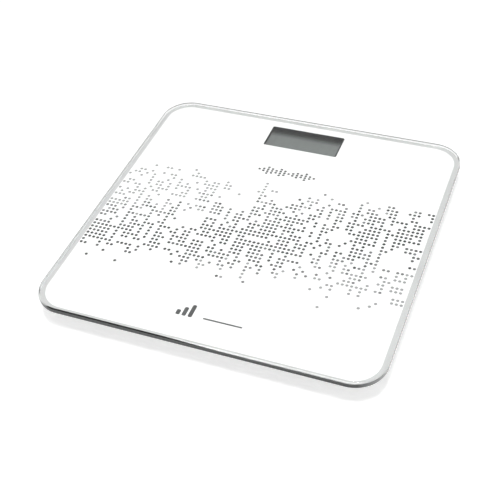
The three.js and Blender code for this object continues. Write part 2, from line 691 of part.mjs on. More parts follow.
function pushSwitch(name, { x, y }) {
  const body = blockAt(x, y, SWITCH_SIZE, SWITCH_SIZE, SWITCH_BOTTOM, BOARD_BOTTOM);
  const well = disc(SWITCH_WELL.radius, SWITCH_BOTTOM - CUT_EXTRA, SWITCH_WELL.top, x, y, SMALL_SIDES);
  return piece(name, body.subtract(well), 'darkPlastic');
}

function volumeControl() {
  const { x, y } = VOLUME_SLIDER;
  const { width, depth, bottom } = SLIDER_KNOB;
  const knob = joined(
    blockAt(x, y, width, depth, bottom, FLANGE_TOP),
    blockAt(x, y, SLIDER_FLANGE.width, SLIDER_FLANGE.depth, FLANGE_BOTTOM, FLANGE_TOP),
    blockAt(x, y, SLIDER_PIN, SLIDER_PIN, FLANGE_BOTTOM, PLUNGER_TOP - 0.1),
  );
  const ridges = [-1, 0, 1].map((i) => blockAt(
    x + i * SLIDER_RIDGE.pitch, y, SLIDER_RIDGE.width, depth + CUT_EXTRA,
    bottom - CUT_EXTRA, bottom + SLIDER_RIDGE.height,
  ));
  const body = cut(
    blockAt(x, y, SLIDE_SWITCH.width, SLIDE_SWITCH.depth, SWITCH_BOTTOM, BOARD_BOTTOM),
    blockAt(
      x, y, SLIDE_SWITCH.wellWidth, SLIDE_SWITCH.wellDepth,
      SWITCH_BOTTOM - CUT_EXTRA, SLIDE_SWITCH.wellTop,
    ),
  );
  return [
    piece('volume_slider', cut(knob, ...ridges), 'greyPlastic'),
    piece('slide_switch_body', body, 'darkPlastic'),
  ];
}

// A pan head screw that points up, with its head at the bottom and a cross recess
function screw(name, x, y, { head, bottom, top, shank, tip }) {
  const solid = turned([
    [0, bottom], [head - HEAD_CHAMFER, bottom], [head, bottom + HEAD_CHAMFER],
    [head, top], [shank, top], [shank, tip - shank], [0, tip],
  ], x, y, SMALL_SIDES);
  const arm = RECESS.reach * head;
  const slots = joined(
    blockAt(x, y, arm, RECESS.width, bottom - CUT_EXTRA, bottom + RECESS.depth),
    blockAt(x, y, RECESS.width, arm, bottom - CUT_EXTRA, bottom + RECESS.depth),
  );
  return piece(name, solid.subtract(slots), 'steel');
}

function screws() {
  const coverScrews = COVER_SCREWS.map(([x, y], i) => screw(`cover_screw_${i + 1}`, x, y, COVER_SCREW));
  const boardScrews = [-1, 1].map((side, i) => screw(
    `board_screw_${i + 1}`, side * BOARD_SCREW.x, BOARD_SCREW.y, BOARD_FIXING,
  ));
  return [...coverScrews, ...boardScrews];
}

function innerLeads() {
  const z = BOARD_TOP + CLEARANCE + THIN_LEAD_RADIUS;
  const batteryLead = lead([
    [BAY_WALL_OUTSIDE + 3.3, -41, 11.2], [BAY_WALL_OUTSIDE + 3.6, -32, 11.6],
    [30.5, -22, 11.8], [26, -8, 11.6], [25, 0, z + 0.6], [25, 7, z],
  ], THIN_LEAD_RADIUS);
  const speakerLead = lead([
    [SPEAKER.x - 4, SPEAKER.y + 12.5, 9.2], [SPEAKER.x - 6, -10, 10.4],
    [46, 0, z + 0.6], [45, 7, z],
  ], THIN_LEAD_RADIUS);
  return [piece('battery_lead', batteryLead, 'lead'), piece('speaker_lead', speakerLead, 'lead')];
}

function electronicsModule() {
  const group = new THREE.Group();
  group.position.set(0, MODULE_Y, 0);
  group.add(
    displayHousing(),
    lowerCover(),
    batteryDoor(),
    battery('battery_front', CELL_FRONT_Y, 1),
    battery('battery_rear', CELL_REAR_Y, -1),
    ...batteryContacts(),
    lcdPanel(),
    lcdBezel(),
    zebraStrip(),
    mainBoard(),
    ...boardParts(),
    ...speaker(),
    pushButton('unit_button', UNIT_BUTTON),
    pushSwitch('unit_switch', UNIT_BUTTON),
    pushButton('language_button', LANGUAGE_BUTTON),
    pushSwitch('language_switch', LANGUAGE_BUTTON),
    ...volumeControl(),
    ...screws(),
    ...innerLeads(),
  );
  return group;
}

// Feet

// A box that reaches out from the Z axis in the direction of an angle
function spoke(angle, near, far, width, bottom, top) {
  const box = new THREE.BoxGeometry(far - near, width, top - bottom);
  return toSolid(box.translate((near + far) / 2, 0, (bottom + top) / 2).rotateZ(angle));
}

function fourSpokes(firstAngle, near, far, width, bottom, top) {
  const quarters = [0, 1, 2, 3].map((i) => firstAngle + i * Math.PI / 2);
  return quarters.map((angle) => spoke(angle, near, far, width, bottom, top));
}

// The cap's tabs enter through the notches of the ledge and turn by 45 degrees
function footFrame(place) {
  const inside = FRAME_RADIUS - FRAME_WALL;
  const roof = PRINT_BOTTOM - FRAME_TOP_PLATE;
  const cup = turned([
    [FRAME_LEDGE_RADIUS, FRAME_BOTTOM], [FRAME_RADIUS - FRAME_CHAMFER, FRAME_BOTTOM],
    [FRAME_RADIUS, FRAME_BOTTOM + FRAME_CHAMFER], [FRAME_RADIUS, PRINT_BOTTOM], [0, PRINT_BOTTOM],
    [0, roof], [inside, roof], [inside, FRAME_LEDGE_TOP],
    [FRAME_LEDGE_RADIUS, FRAME_LEDGE_TOP], [FRAME_LEDGE_RADIUS, FRAME_BOTTOM],
  ]);
  const ribs = [-1, 1].map((side) => blockAt(
    0, side * FRAME_RIB.y, FRAME_RIB.length, FRAME_RIB.width, LOAD_CELL_TOP, roof + FRAME_TOP_PLATE / 2,
  ));
  const notches = fourSpokes(
    Math.PI / 4, FRAME_LEDGE_RADIUS - CUT_EXTRA, inside - FRAME_NOTCH_GAP, FRAME_NOTCH_WIDTH,
    FRAME_BOTTOM - CUT_EXTRA, FRAME_LEDGE_TOP,
  );
  const leadWay = block(
    LEAD_WAY.start, FRAME_RADIUS + CUT_EXTRA, -LEAD_WAY.halfWidth, LEAD_WAY.halfWidth,
    LEAD_WAY.bottom, PRINT_BOTTOM + CUT_EXTRA,
  );
  return piece(`foot_frame_${place}`, cut(joined(cup, ...ribs), ...notches, leadWay), 'housing');
}

// A stamped steel plate. A cut in the shape of a U leaves a tongue that the foot bends.
function loadCell(place) {
  const half = LOAD_CELL_SIZE / 2;
  const tongue = { root: 10, tip: -9, halfWidth: 6, slot: 1.6 };
  const low = LOAD_CELL_BOTTOM - CUT_EXTRA;
  const high = LOAD_CELL_TOP + CUT_EXTRA;
  const far = tongue.tip - tongue.slot;
  const outer = tongue.halfWidth + tongue.slot;
  const slots = [
    block(far, tongue.root, tongue.halfWidth, outer, low, high),
    block(far, tongue.root, -outer, -tongue.halfWidth, low, high),
    block(far, tongue.tip, -outer, outer, low, high),
  ];
  const reach = half - LOAD_CELL_HOLE.inset;
  const holes = [[-1, -1], [-1, 1], [1, -1], [1, 1]].map(([x, y]) => disc(
    LOAD_CELL_HOLE.radius, low, high, x * reach, y * reach, SMALL_SIDES,
  ));
  const plate = roundedSlab(
    LOAD_CELL_SIZE, LOAD_CELL_SIZE, LOAD_CELL_CORNER, LOAD_CELL_BOTTOM, LOAD_CELL_TOP,
  );
  return piece(`load_cell_${place}`, cut(plate, ...slots, ...holes), 'steel');
}

function strainGauge(place) {
  const { x0, x1, halfWidth } = GAUGE;
  const solid = block(x0, x1, -halfWidth, halfWidth, LOAD_CELL_TOP, GAUGE_TOP);
  return piece(`strain_gauge_${place}`, solid, 'silicone');
}

function footCap(place) {
  const floor = CAP_TAB_BOTTOM - 1;
  const shell = turned([
    [0, PAD_TOP], [PAD_RADIUS + CLEARANCE, PAD_TOP], [PAD_RADIUS + CLEARANCE, CAP_BOTTOM],
    [CAP_RADIUS - CAP_CHAMFER, CAP_BOTTOM], [CAP_RADIUS, CAP_BOTTOM + CAP_CHAMFER],
    [CAP_RADIUS, CAP_TAB_TOP], [CAP_RADIUS - CAP_WALL, CAP_TAB_TOP],
    [CAP_RADIUS - CAP_WALL, floor], [CAP_BOSS_RADIUS, floor],
    [CAP_BOSS_RADIUS, CAP_BOSS_TOP], [0, CAP_BOSS_TOP],
  ]);
  const tabs = fourSpokes(
    0, CAP_RADIUS - CAP_WALL / 2, CAP_TAB_RADIUS, CAP_TAB_WIDTH, CAP_TAB_BOTTOM, CAP_TAB_TOP,
  );
  return piece(`foot_cap_${place}`, joined(shell, ...tabs), 'greyPlastic');
}

function footPad(place) {
  const solid = turned([
    [0, 0], [PAD_RADIUS - PAD_CHAMFER, 0], [PAD_RADIUS, PAD_CHAMFER], [PAD_RADIUS, PAD_TOP], [0, PAD_TOP],
  ]);
  return piece(`foot_pad_${place}`, solid, 'rubber');
}

function foot(place, x, y, turn) {
  const group = new THREE.Group();
  group.position.set(x, y, 0);
  group.rotation.z = turn;
  group.add(footFrame(place), loadCell(place), strainGauge(place), footCap(place), footPad(place));
  return group;
}

// The leads run along the print, through the module's side walls and down to the board
function rearLead(side) {
  const y = REAR_LEAD_Y;
  const points = [
    [FOOT_OFFSET - 10.4, y, 13.3], [FOOT_OFFSET - 16, y, 13.7], [FOOT_OFFSET - 22, y, 13.7],
    [85, y, 13.3], [81, y, WALL_HOLE_Z], [74, y, 12.4], [66, y, 10.6], [59, y, LEAD_ON_BOARD_Z],
  ];
  return lead(points.map(([px, py, pz]) => [side * px, py, pz]), SENSOR_LEAD_RADIUS);
}

function frontLead(side) {
  const x = FOOT_OFFSET;
  const points = [
    [x, -x + 10.4, 13.2], [x, -x + 16, 14], [x, -x + 22, SENSOR_LEAD_Z], [x, -60, SENSOR_LEAD_Z],
    [x, -10, SENSOR_LEAD_Z], [x, 40, SENSOR_LEAD_Z], [x - 4, 61, SENSOR_LEAD_Z],
    [98, 70, SENSOR_LEAD_Z], [88, FRONT_LEAD_Y, 13.9], [81, FRONT_LEAD_Y, WALL_HOLE_Z],
    [74, 75, 12.4], [64, 88, 10.9], [56, 101, LEAD_ON_BOARD_Z],
  ];
  return lead(points.map(([px, py, pz]) => [side * px, py, pz]), SENSOR_LEAD_RADIUS);
}

// Assembly

const group = new THREE.Group();
group.add(glassPlatform(), backPrint(), electronicsModule());
for (const [sideName, side] of [['left', -1], ['right', 1]]) {
  group.add(foot(`front_${sideName}`, side * FOOT_OFFSET, -FOOT_OFFSET, Math.PI / 2));
  group.add(foot(`rear_${sideName}`, side * FOOT_OFFSET, FOOT_OFFSET, side > 0 ? Math.PI : 0));
  group.add(piece(`sensor_lead_front_${sideName}`, frontLead(side), 'lead'));
  group.add(piece(`sensor_lead_rear_${sideName}`, rearLead(side), 'lead'));
}

export default group;
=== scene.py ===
"""Digital bathroom scale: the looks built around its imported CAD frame.

Metres, +Z up. The origin is on the floor under the middle of the glass plate, and the display is at +Y.
"""

import json
import math
import random

import bpy
from mathutils import Matrix, Vector, geometry


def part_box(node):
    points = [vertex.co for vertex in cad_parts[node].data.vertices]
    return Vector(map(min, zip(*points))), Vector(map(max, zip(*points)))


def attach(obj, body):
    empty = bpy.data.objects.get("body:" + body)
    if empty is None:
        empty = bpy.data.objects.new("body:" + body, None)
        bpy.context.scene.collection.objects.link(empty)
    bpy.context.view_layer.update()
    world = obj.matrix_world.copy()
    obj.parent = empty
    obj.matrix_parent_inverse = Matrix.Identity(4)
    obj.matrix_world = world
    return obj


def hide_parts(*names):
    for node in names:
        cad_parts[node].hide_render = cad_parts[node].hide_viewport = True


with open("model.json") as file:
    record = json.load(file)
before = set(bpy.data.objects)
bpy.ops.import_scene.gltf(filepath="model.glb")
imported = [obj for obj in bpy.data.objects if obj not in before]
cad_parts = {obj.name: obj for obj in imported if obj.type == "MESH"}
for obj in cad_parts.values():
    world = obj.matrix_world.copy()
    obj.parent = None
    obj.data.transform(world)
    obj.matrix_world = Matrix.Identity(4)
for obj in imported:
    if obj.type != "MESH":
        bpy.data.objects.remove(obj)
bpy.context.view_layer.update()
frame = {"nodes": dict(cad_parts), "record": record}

MM = 0.001
PLATFORM = "platform"
SMOOTH_ANGLE = math.radians(32)
ROUND_SIDES = 96

# A rounded corner takes at most this share of each side, and nearer points than this are on the axis
CORNER_SHARE = 0.45
AXIS_RADIUS = 1e-7

# Places that follow from the frame

GLASS_LOW, GLASS_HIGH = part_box("glass_platform")
FILM_LOW, FILM_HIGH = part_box("back_print")
LCD_LOW, LCD_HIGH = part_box("lcd_panel")
FEET = ("front_left", "front_right", "rear_left", "rear_right")

# Glass plate and its print

GLASS_CORNER = 27 * MM
CORNER_STEPS = 24
ARRIS = 1.2 * MM
ARRIS_ROUNDING = 0.35 * MM
ARRIS_MARGIN = 0.5 * MM
PRINT_CORNER = 22 * MM
PRINT_GAP = 0.06 * MM
INK_GAP = 0.03 * MM
INK_THICKNESS = 0.02 * MM
BORDER_THICKNESS = 0.08 * MM
WINDOW_WIDTH = 73 * MM
WINDOW_DEPTH = 30 * MM
WINDOW_CORNER = 1.5 * MM
WINDOW_Y = (LCD_LOW.y + LCD_HIGH.y) / 2
LCD_CORNER = 1 * MM
LCD_MARGIN = 0.8 * MM
LCD_ROUNDING = 0.15 * MM

# The window's edge shades the display, as painted shade in its colour: how far in the shade starts, and
# where it is full
SHADE_FROM_BACK = (10 * MM, -0.5 * MM)
SHADE_FROM_RIGHT = (3.4 * MM, 1.6 * MM)


# Outlines and meshes


def rounded_outline(centre, width, depth, radius, steps):
    """Points round a rectangle with arc corners, anticlockwise."""
    points = []
    for quarter in range(4):
        across = width / 2 - radius if quarter in (0, 3) else radius - width / 2
        up = depth / 2 - radius if quarter in (0, 1) else radius - depth / 2
        for step in range(steps + 1):
            angle = (quarter + step / steps) * math.pi / 2
            points.append(Vector((
                centre[0] + across + radius * math.cos(angle),
                centre[1] + up + radius * math.sin(angle),
            )))
    return points


def softened(points, reach, steps=3):
    """An open profile with its corners rounded off over the given reach, or over less by a short side."""
    points = [Vector(point) for point in points]
    result = [points[0]]
    for previous, corner, following in zip(points, points[1:], points[2:]):
        before, after = previous - corner, following - corner
        start = corner + before.normalized() * min(reach, CORNER_SHARE * before.length)
        end = corner + after.normalized() * min(reach, CORNER_SHARE * after.length)
        for step in range(steps + 1):
            t = step / steps
            result.append(start.lerp(corner, t).lerp(corner.lerp(end, t), t))
    return result + [points[-1]]


def lofted(rings):
    """A closed solid through rings of equal length, with flat ends."""
    size = len(rings[0])
    vertices = [tuple(point) for ring in rings for point in ring]
    faces = [tuple(reversed(range(size)))]
    for level in range(len(rings) - 1):
        low, high = level * size, (level + 1) * size
        for i in range(size):
            j = (i + 1) % size
            faces.append((low + i, low + j, high + j, high + i))
    top = (len(rings) - 1) * size
    faces.append(tuple(range(top, top + size)))
    return vertices, faces


def turned(profile, sides=ROUND_SIDES):
    """A closed solid of revolution about Z, from (radius, height) points that run up the outside."""
    vertices, rings = [], []
    for radius, height in profile:
        count = 1 if radius < AXIS_RADIUS else sides
        rings.append([len(vertices) + i for i in range(count)])
        for i in range(count):
            angle = 2 * math.pi * i / sides
            vertices.append((radius * math.cos(angle), radius * math.sin(angle), height))
    on_axis = len(rings[0]) == 1
    following = rings[1:] if on_axis else rings[1:] + rings[:1]
    faces = []
    for low, high in zip(rings, following):
        for i in range(sides):
            j = (i + 1) % sides
            corners = (low[i % len(low)], low[j % len(low)], high[j % len(high)], high[i % len(high)])
            distinct = tuple(dict.fromkeys(corners))
            if len(distinct) > 2:
                faces.append(distinct)
    return vertices, faces


def slab(outline, holes, bottom, top):
    """A plate between two heights, from a flat outline with holes."""
    loops = [outline] + [list(reversed(hole)) for hole in holes]
    flat = [point for loop in loops for point in loop]
    count = len(flat)
    vertices = [(p.x, p.y, height) for height in (bottom, top) for p in flat]
    faces = []
    for a, b, c in geometry.tessellate_polygon([[p.to_3d() for p in loop] for loop in loops]):
        if (flat[b] - flat[a]).cross(flat[c] - flat[a]) < 0:
            a, c = c, a
        faces += [(a + count, b + count, c + count), (c, b, a)]
    start = 0
    for loop in loops:
        size = len(loop)
        for i in range(size):
            a, b = start + i, start + (i + 1) % size
            faces.append((a, b, b + count, a + count))
        start += size
    return vertices, faces


def block(x0, x1, y0, y1, z0, z1):
    """A box between two corners."""
    ring = [(x0, y0), (x1, y0), (x1, y1), (x0, y1)]
    return lofted([[(x, y, z) for x, y in ring] for z in (z0, z1)])


def merged(*shapes):
    """Several shapes as one list of vertices and one of faces."""
    vertices, faces = [], []
    for shape_vertices, shape_faces in shapes:
        start = len(vertices)
        vertices += shape_vertices
        faces += [tuple(start + i for i in face) for face in shape_faces]
    return vertices, faces


def mesh_object(name, shape):
    """A new object in the scene, from its vertices and faces."""
    mesh = bpy.data.meshes.new(name)
    mesh.from_pydata(shape[0], [], shape[1])
    mesh.validate()
    item = bpy.data.objects.new(name, mesh)
    bpy.context.scene.collection.objects.link(item)
    return item


def carved(shape, operation, *tools):
    """The shape after each tool is cut from it (DIFFERENCE) or joined to it (UNION)."""
    item = mesh_object("work", shape)
    cutters = [mesh_object("tool", tool) for tool in tools]
    for cutter in cutters:
        modifier = item.modifiers.new("carve", "BOOLEAN")
        modifier.operation = operation
        modifier.solver = "EXACT"
        modifier.object = cutter
    graph = bpy.context.evaluated_depsgraph_get()
    graph.update()
    mesh = bpy.data.meshes.new_from_object(item.evaluated_get(graph))
    result = ([tuple(v.co) for v in mesh.vertices], [tuple(p.vertices) for p in mesh.polygons])
    for spare in [item] + cutters:
        bpy.data.objects.remove(spare)
    return result


def smooth(item):
    """Smooth shading between the sharp edges, even over flat faces."""
    item.data.shade_smooth()
    item.data.set_sharp_from_angle(angle=SMOOTH_ANGLE)
    shading = item.modifiers.new("shading", "WEIGHTED_NORMAL")
    shading.keep_sharp = True


def piece(name, shape, finishes, body, replaces=(), place=None):
    """A piece of the object, in its place on its body."""
    item = mesh_object(name, shape)
    for material in finishes if isinstance(finishes, (list, tuple)) else [finishes]:
        item.data.materials.append(material)
    if place is not None:
        item.data.transform(place)
    smooth(item)
    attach(item, body)
    if replaces:
        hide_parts(*replaces)
    return item


# Materials


def new_material(name):
    """A material with its node tree and its main shader."""
    material = bpy.data.materials.new(name)
    material.use_nodes = True
    return material, material.node_tree, material.node_tree.nodes["Principled BSDF"]


def noise(tree, size, detail=3, stretch=(1, 1, 1)):
    """Noise from 0 to 1, with features about the given size."""
    coordinates = tree.nodes.new("ShaderNodeTexCoord")
    mapping = tree.nodes.new("ShaderNodeMapping")
    mapping.inputs["Scale"].default_value = [part / size for part in stretch]
    texture = tree.nodes.new("ShaderNodeTexNoise")
    texture.inputs["Scale"].default_value = 1
    texture.inputs["Detail"].default_value = detail
    tree.links.new(coordinates.outputs["Object"], mapping.inputs["Vector"])
    tree.links.new(mapping.outputs["Vector"], texture.inputs["Vector"])
    return texture.outputs["Fac"]


def remapped(tree, value, low, high, start=0.3, end=0.7):
    """The value's range from start to end, spread over low to high. Noise is mostly from 0.3 to 0.7."""
    node = tree.nodes.new("ShaderNodeMapRange")
    node.inputs["From Min"].default_value = start
    node.inputs["From Max"].default_value = end
    node.inputs["To Min"].default_value = low
    node.inputs["To Max"].default_value = high
    tree.links.new(value, node.inputs["Value"])
    return node.outputs["Result"]


def shaded(tree, value, stops):
    """A colour ramp over the value, from (position, colour) stops."""
    ramp = tree.nodes.new("ShaderNodeValToRGB")
    elements = ramp.color_ramp.elements
    for element, (position, colour) in zip(elements, stops):
        element.position = position
        element.color = (*colour, 1)
    for position, colour in stops[2:]:
        elements.new(position).color = (*colour, 1)
    tree.links.new(value, ramp.inputs["Fac"])
    return ramp.outputs["Color"]


def roughened(tree, bsdf, height, depth):
    """Bump of the given depth in metres."""
    node = tree.nodes.new("ShaderNodeBump")
    node.inputs["Distance"].default_value = depth
    tree.links.new(height, node.inputs["Height"])
    tree.links.new(node.outputs["Normal"], bsdf.inputs["Normal"])


def lightened(colour, factor):
    """The colour, brighter by the factor."""
    return tuple(min(1, part * factor) for part in colour)


def grained(name, roughness, grain=0.5 * MM, depth=0.01 * MM, stretch=(1, 1, 1)):
    """A surface with a fine grain in its gloss and relief, and no colour yet."""
    material, tree, bsdf = new_material(name)
    fine = noise(tree, grain, stretch=stretch)
    gloss = remapped(tree, fine, roughness * 0.85, min(1, roughness * 1.15))
    tree.links.new(gloss, bsdf.inputs["Roughness"])
    roughened(tree, bsdf, fine, depth)
    return material, tree, bsdf


def finish(name, colour, roughness, metallic=0, variation=0.06, patch=18 * MM, **grain):
    """A grained surface with slow changes of colour."""
    material, tree, bsdf = grained(name, roughness, **grain)
    patches = noise(tree, patch, detail=2)
    tones = [(0.3, lightened(colour, 1 - variation)), (0.7, lightened(colour, 1 + variation / 2))]
    tree.links.new(shaded(tree, patches, tones), bsdf.inputs["Base Color"])
    bsdf.inputs["Metallic"].default_value = metallic
    return material, tree, bsdf


def plain(name, colour, roughness, **options):
    """A finish that needs nothing more."""
    return finish(name, colour, roughness, **options)[0]


def clear_glass():
    """Clear tempered glass that lets light through to what lies under it."""
    material, tree, bsdf = new_material("clear_glass")
    bsdf.inputs["Base Color"].default_value = (0.965, 0.972, 0.969, 1)
    bsdf.inputs["IOR"].default_value = 1.5
    bsdf.inputs["Transmission Weight"].default_value = 1
    smears = noise(tree, 60 * MM, detail=4)
    tree.links.new(remapped(tree, smears, 0, 0.012), bsdf.inputs["Roughness"])
    lit_through(tree, bsdf, (0.94, 0.946, 0.943, 1))
    return material


def lit_through(tree, surface, tint):
    """Shadow rays pass through the surface with a tint."""
    path = tree.nodes.new("ShaderNodeLightPath")
    pane = tree.nodes.new("ShaderNodeBsdfTransparent")
    pane.inputs["Color"].default_value = tint
    mix = tree.nodes.new("ShaderNodeMixShader")
    output = tree.nodes["Material Output"]
    tree.links.new(path.outputs["Is Shadow Ray"], mix.inputs["Fac"])
    tree.links.new(surface.outputs["BSDF"], mix.inputs[1])
    tree.links.new(pane.outputs["BSDF"], mix.inputs[2])
    tree.links.new(mix.outputs["Shader"], output.inputs["Surface"])


def ground_edge():
    """The ground edge of the glass, with fine lines: its dark grey turns darker towards the bottom as
    painted shade, and paler on faces turned to the right as painted light.

    Seen through the glass, from inside, it glows with the light that falls on it.
    """
    material, tree, bsdf = new_material("ground_glass_edge")
    coordinates = tree.nodes.new("ShaderNodeTexCoord")
    split = tree.nodes.new("ShaderNodeSeparateXYZ")
    tree.links.new(coordinates.outputs["Object"], split.inputs["Vector"])
    height = remapped(tree, split.outputs["Z"], 0, 1, GLASS_LOW.z, GLASS_HIGH.z)
    # Painted shade: the edge's grey darkens towards the bottom
    tones = [(0, (0.018, 0.020, 0.020)), (0.5, (0.050, 0.054, 0.053)), (0.85, (0.075, 0.081, 0.079))]

    # Painted light: faces turned towards +X are mixed towards a paler grey
    facing = tree.nodes.new("ShaderNodeSeparateXYZ")
    tree.links.new(coordinates.outputs["Normal"], facing.inputs["Vector"])
    painted_light_right = tree.nodes.new("ShaderNodeMix")
    painted_light_right.data_type = "RGBA"
    painted_light_right.inputs["B"].default_value = (0.30, 0.31, 0.305, 1)
    tree.links.new(remapped(tree, facing.outputs["X"], 0, 1, 0.35, 0.9), painted_light_right.inputs["Factor"])
    tree.links.new(shaded(tree, height, tones), painted_light_right.inputs["A"])
    tree.links.new(painted_light_right.outputs["Result"], bsdf.inputs["Base Color"])

    lines = noise(tree, 0.6 * MM, detail=2, stretch=(1, 1, 0.1))
    tree.links.new(remapped(tree, lines, 0.12, 0.22), bsdf.inputs["Roughness"])
    roughened(tree, bsdf, lines, 0.004 * MM)

    inside = tree.nodes.new("ShaderNodeBsdfTranslucent")
    inside.inputs["Color"].default_value = (0.52, 0.53, 0.525, 1)
    side = tree.nodes.new("ShaderNodeNewGeometry")
    mix = tree.nodes.new("ShaderNodeMixShader")
    tree.links.new(side.outputs["Backfacing"], mix.inputs["Fac"])
    tree.links.new(bsdf.outputs["BSDF"], mix.inputs[1])
    tree.links.new(inside.outputs["BSDF"], mix.inputs[2])
    tree.links.new(mix.outputs["Shader"], tree.nodes["Material Output"].inputs["Surface"])
    return material


def ink(name, tone):
    """Screen printing ink in one grey."""
    material, _, bsdf = finish(name, (tone, tone, tone * 1.01), 0.5, grain=0.3 * MM, depth=0.002 * MM)
    bsdf.inputs["Specular IOR Level"].default_value = 0.3
    return material


def brushed(name, colour, roughness):
    """Metal with fine lines along its own X."""
    return plain(name, colour, roughness, metallic=1, grain=0.25 * MM, depth=0.002 * MM,
                 stretch=(0.06, 1, 1), variation=0.12, patch=9 * MM)


def lcd_surface(name, brightness):
    """A reflective liquid crystal display behind its polariser, with painted shade at its back and right.
    """
    material, tree, bsdf = grained(name, 0.32, grain=0.2 * MM, depth=0.001 * MM)
    coordinates = tree.nodes.new("ShaderNodeTexCoord")
    split = tree.nodes.new("ShaderNodeSeparateXYZ")
    tree.links.new(coordinates.outputs["Object"], split.inputs["Vector"])
    back_shade = [WINDOW_Y + WINDOW_DEPTH / 2 - reach for reach in SHADE_FROM_BACK]
    right_shade = [WINDOW_WIDTH / 2 - reach for reach in SHADE_FROM_RIGHT]
    from_back = remapped(tree, split.outputs["Y"], 1, 0, *back_shade)
    from_right = remapped(tree, split.outputs["X"], 1, 0, *right_shade)
    nearest = tree.nodes.new("ShaderNodeMath")
    nearest.operation = "MINIMUM"
    tree.links.new(from_back, nearest.inputs[0])
    tree.links.new(from_right, nearest.inputs[1])
    depth = nearest.outputs["Value"]
    # Painted shade: the colour falls to near black towards the window's back and right edges
    tones = [(0, (0.003, 0.003, 0.003)), (0.35, (0.022, 0.024, 0.023)), (1, (0.150, 0.162, 0.157))]
    stops = [(position, lightened(colour, brightness)) for position, colour in tones]
    tree.links.new(shaded(tree, depth, stops), bsdf.inputs["Base Color"])
    bsdf.inputs["Specular IOR Level"].default_value = 0.1
    return material


def circuit_board():
    """Dark green solder mask, paler over the thin copper tracks."""
    material, tree, bsdf = grained("circuit_board", 0.35, grain=0.4 * MM)
    coordinates = tree.nodes.new("ShaderNodeTexCoord")
    tracks = tree.nodes.new("ShaderNodeTexBrick")
    unit = 20 * MM
    tracks.inputs["Scale"].default_value = 1 / unit
    tracks.inputs["Brick Width"].default_value = 0.85
    tracks.inputs["Row Height"].default_value = 0.13
    tracks.inputs["Mortar Size"].default_value = 0.012
    tracks.inputs["Color1"].default_value = (0.014, 0.10, 0.038, 1)
    tracks.inputs["Color2"].default_value = (0.017, 0.115, 0.045, 1)
    tracks.inputs["Mortar"].default_value = (0.04, 0.21, 0.085, 1)
    tree.links.new(coordinates.outputs["Object"], tracks.inputs["Vector"])
    tree.links.new(tracks.outputs["Color"], bsdf.inputs["Base Color"])
    return material


MOULDED = {"grain": 0.35 * MM, "depth": 0.02 * MM}
WIRE_SKIN = {"grain": 1 * MM}
PRINTED = {"grain": 0.4 * MM, "depth": 0.003 * MM}
FOIL = {"metallic": 0.35, "grain": 2 * MM, "depth": 0.006 * MM}

WHITE_PLASTIC = plain("white_plastic", (0.83, 0.84, 0.83), 0.5, variation=0.04, **MOULDED)
GREY_PLASTIC = plain("grey_plastic", (0.36, 0.37, 0.38), 0.5, **MOULDED)
BLACK_PLASTIC = plain("black_plastic", (0.012, 0.012, 0.013), 0.45, grain=0.35 * MM)
DARK_RUBBER = plain("dark_rubber", (0.05, 0.05, 0.052), 0.85,
                    grain=0.7 * MM, depth=0.04 * MM, variation=0.2)
EPOXY = plain("black_epoxy", (0.012, 0.012, 0.013), 0.3, grain=1.2 * MM, depth=0.03 * MM)
FERRITE = plain("ferrite", (0.05, 0.05, 0.055), 0.6, metallic=0.3, grain=0.5 * MM, depth=0.05 * MM)
SPEAKER_FILM = plain("speaker_film", (0.015, 0.015, 0.017), 0.4, grain=2 * MM, depth=0.05 * MM)
SILICONE = plain("white_silicone", (0.85, 0.85, 0.82), 0.4, grain=1.5 * MM, depth=0.1 * MM)
INSULATION = plain("lead_insulation", (0.75, 0.75, 0.74), 0.45, **WIRE_SKIN)
RED_WIRE = plain("red_wire", (0.55, 0.03, 0.02), 0.4, **WIRE_SKIN)
BLACK_WIRE = plain("black_wire", (0.02, 0.02, 0.02), 0.4, **WIRE_SKIN)
WHITE_WIRE = plain("white_wire", (0.80, 0.80, 0.78), 0.4, **WIRE_SKIN)
STEEL = brushed("stamped_steel", (0.56, 0.57, 0.58), 0.35)
NICKEL = brushed("nickel_plate", (0.66, 0.63, 0.58), 0.28)
CLEAR_GLASS = clear_glass()
GLASS_EDGE = ground_edge()
WHITE_PRINT = plain("white_print", (0.80, 0.80, 0.797), 0.5, variation=0.01, **PRINTED)
# Painted shade: a grey sheet for the floor in shade under the clear margin of the glass
BORDER_PAINTED_SHADE = plain("border_painted_shade_grey", (0.465, 0.465, 0.465), 0.5, variation=0.02, **PRINTED)
LCD_SURFACE = lcd_surface("lcd_surface", 1)
BOARD = circuit_board()
SLEEVE = plain("battery_sleeve", (0.05, 0.12, 0.26), 0.28, **FOIL)
SLEEVE_BAND = plain("battery_band", (0.62, 0.63, 0.65), 0.28, **FOIL)


# Glass plate, print and display


def pane(centre, width, depth, corner, steps, edge):
    """A rounded pane. Its edge is a list of (distance in from the outline, height), upwards."""
    return lofted([
        [
            (*point, height)
            for point in rounded_outline(centre, width - 2 * inset, depth - 2 * inset, corner(inset), steps)
        ]
        for inset, height in edge
    ])


def glass_plate():
    """The tempered pane, with its ground edge."""
    bottom, top = GLASS_LOW.z, GLASS_HIGH.z
    inner = ARRIS + ARRIS_MARGIN
    edge = softened([
        (inner, bottom), (ARRIS, bottom), (0, bottom + ARRIS),
        (0, top - ARRIS), (ARRIS, top), (inner, top),
    ], ARRIS_ROUNDING)
    width = GLASS_HIGH.x - GLASS_LOW.x
    shape = pane((0, 0), width, width, lambda inset: GLASS_CORNER - inset, CORNER_STEPS, edge)
    plate = piece("glass_plate", shape, [CLEAR_GLASS, GLASS_EDGE], PLATFORM,
                  ["glass_platform"])
    for face in plate.data.polygons:
        if abs(face.normal.z) < 0.5:
            face.material_index = 1


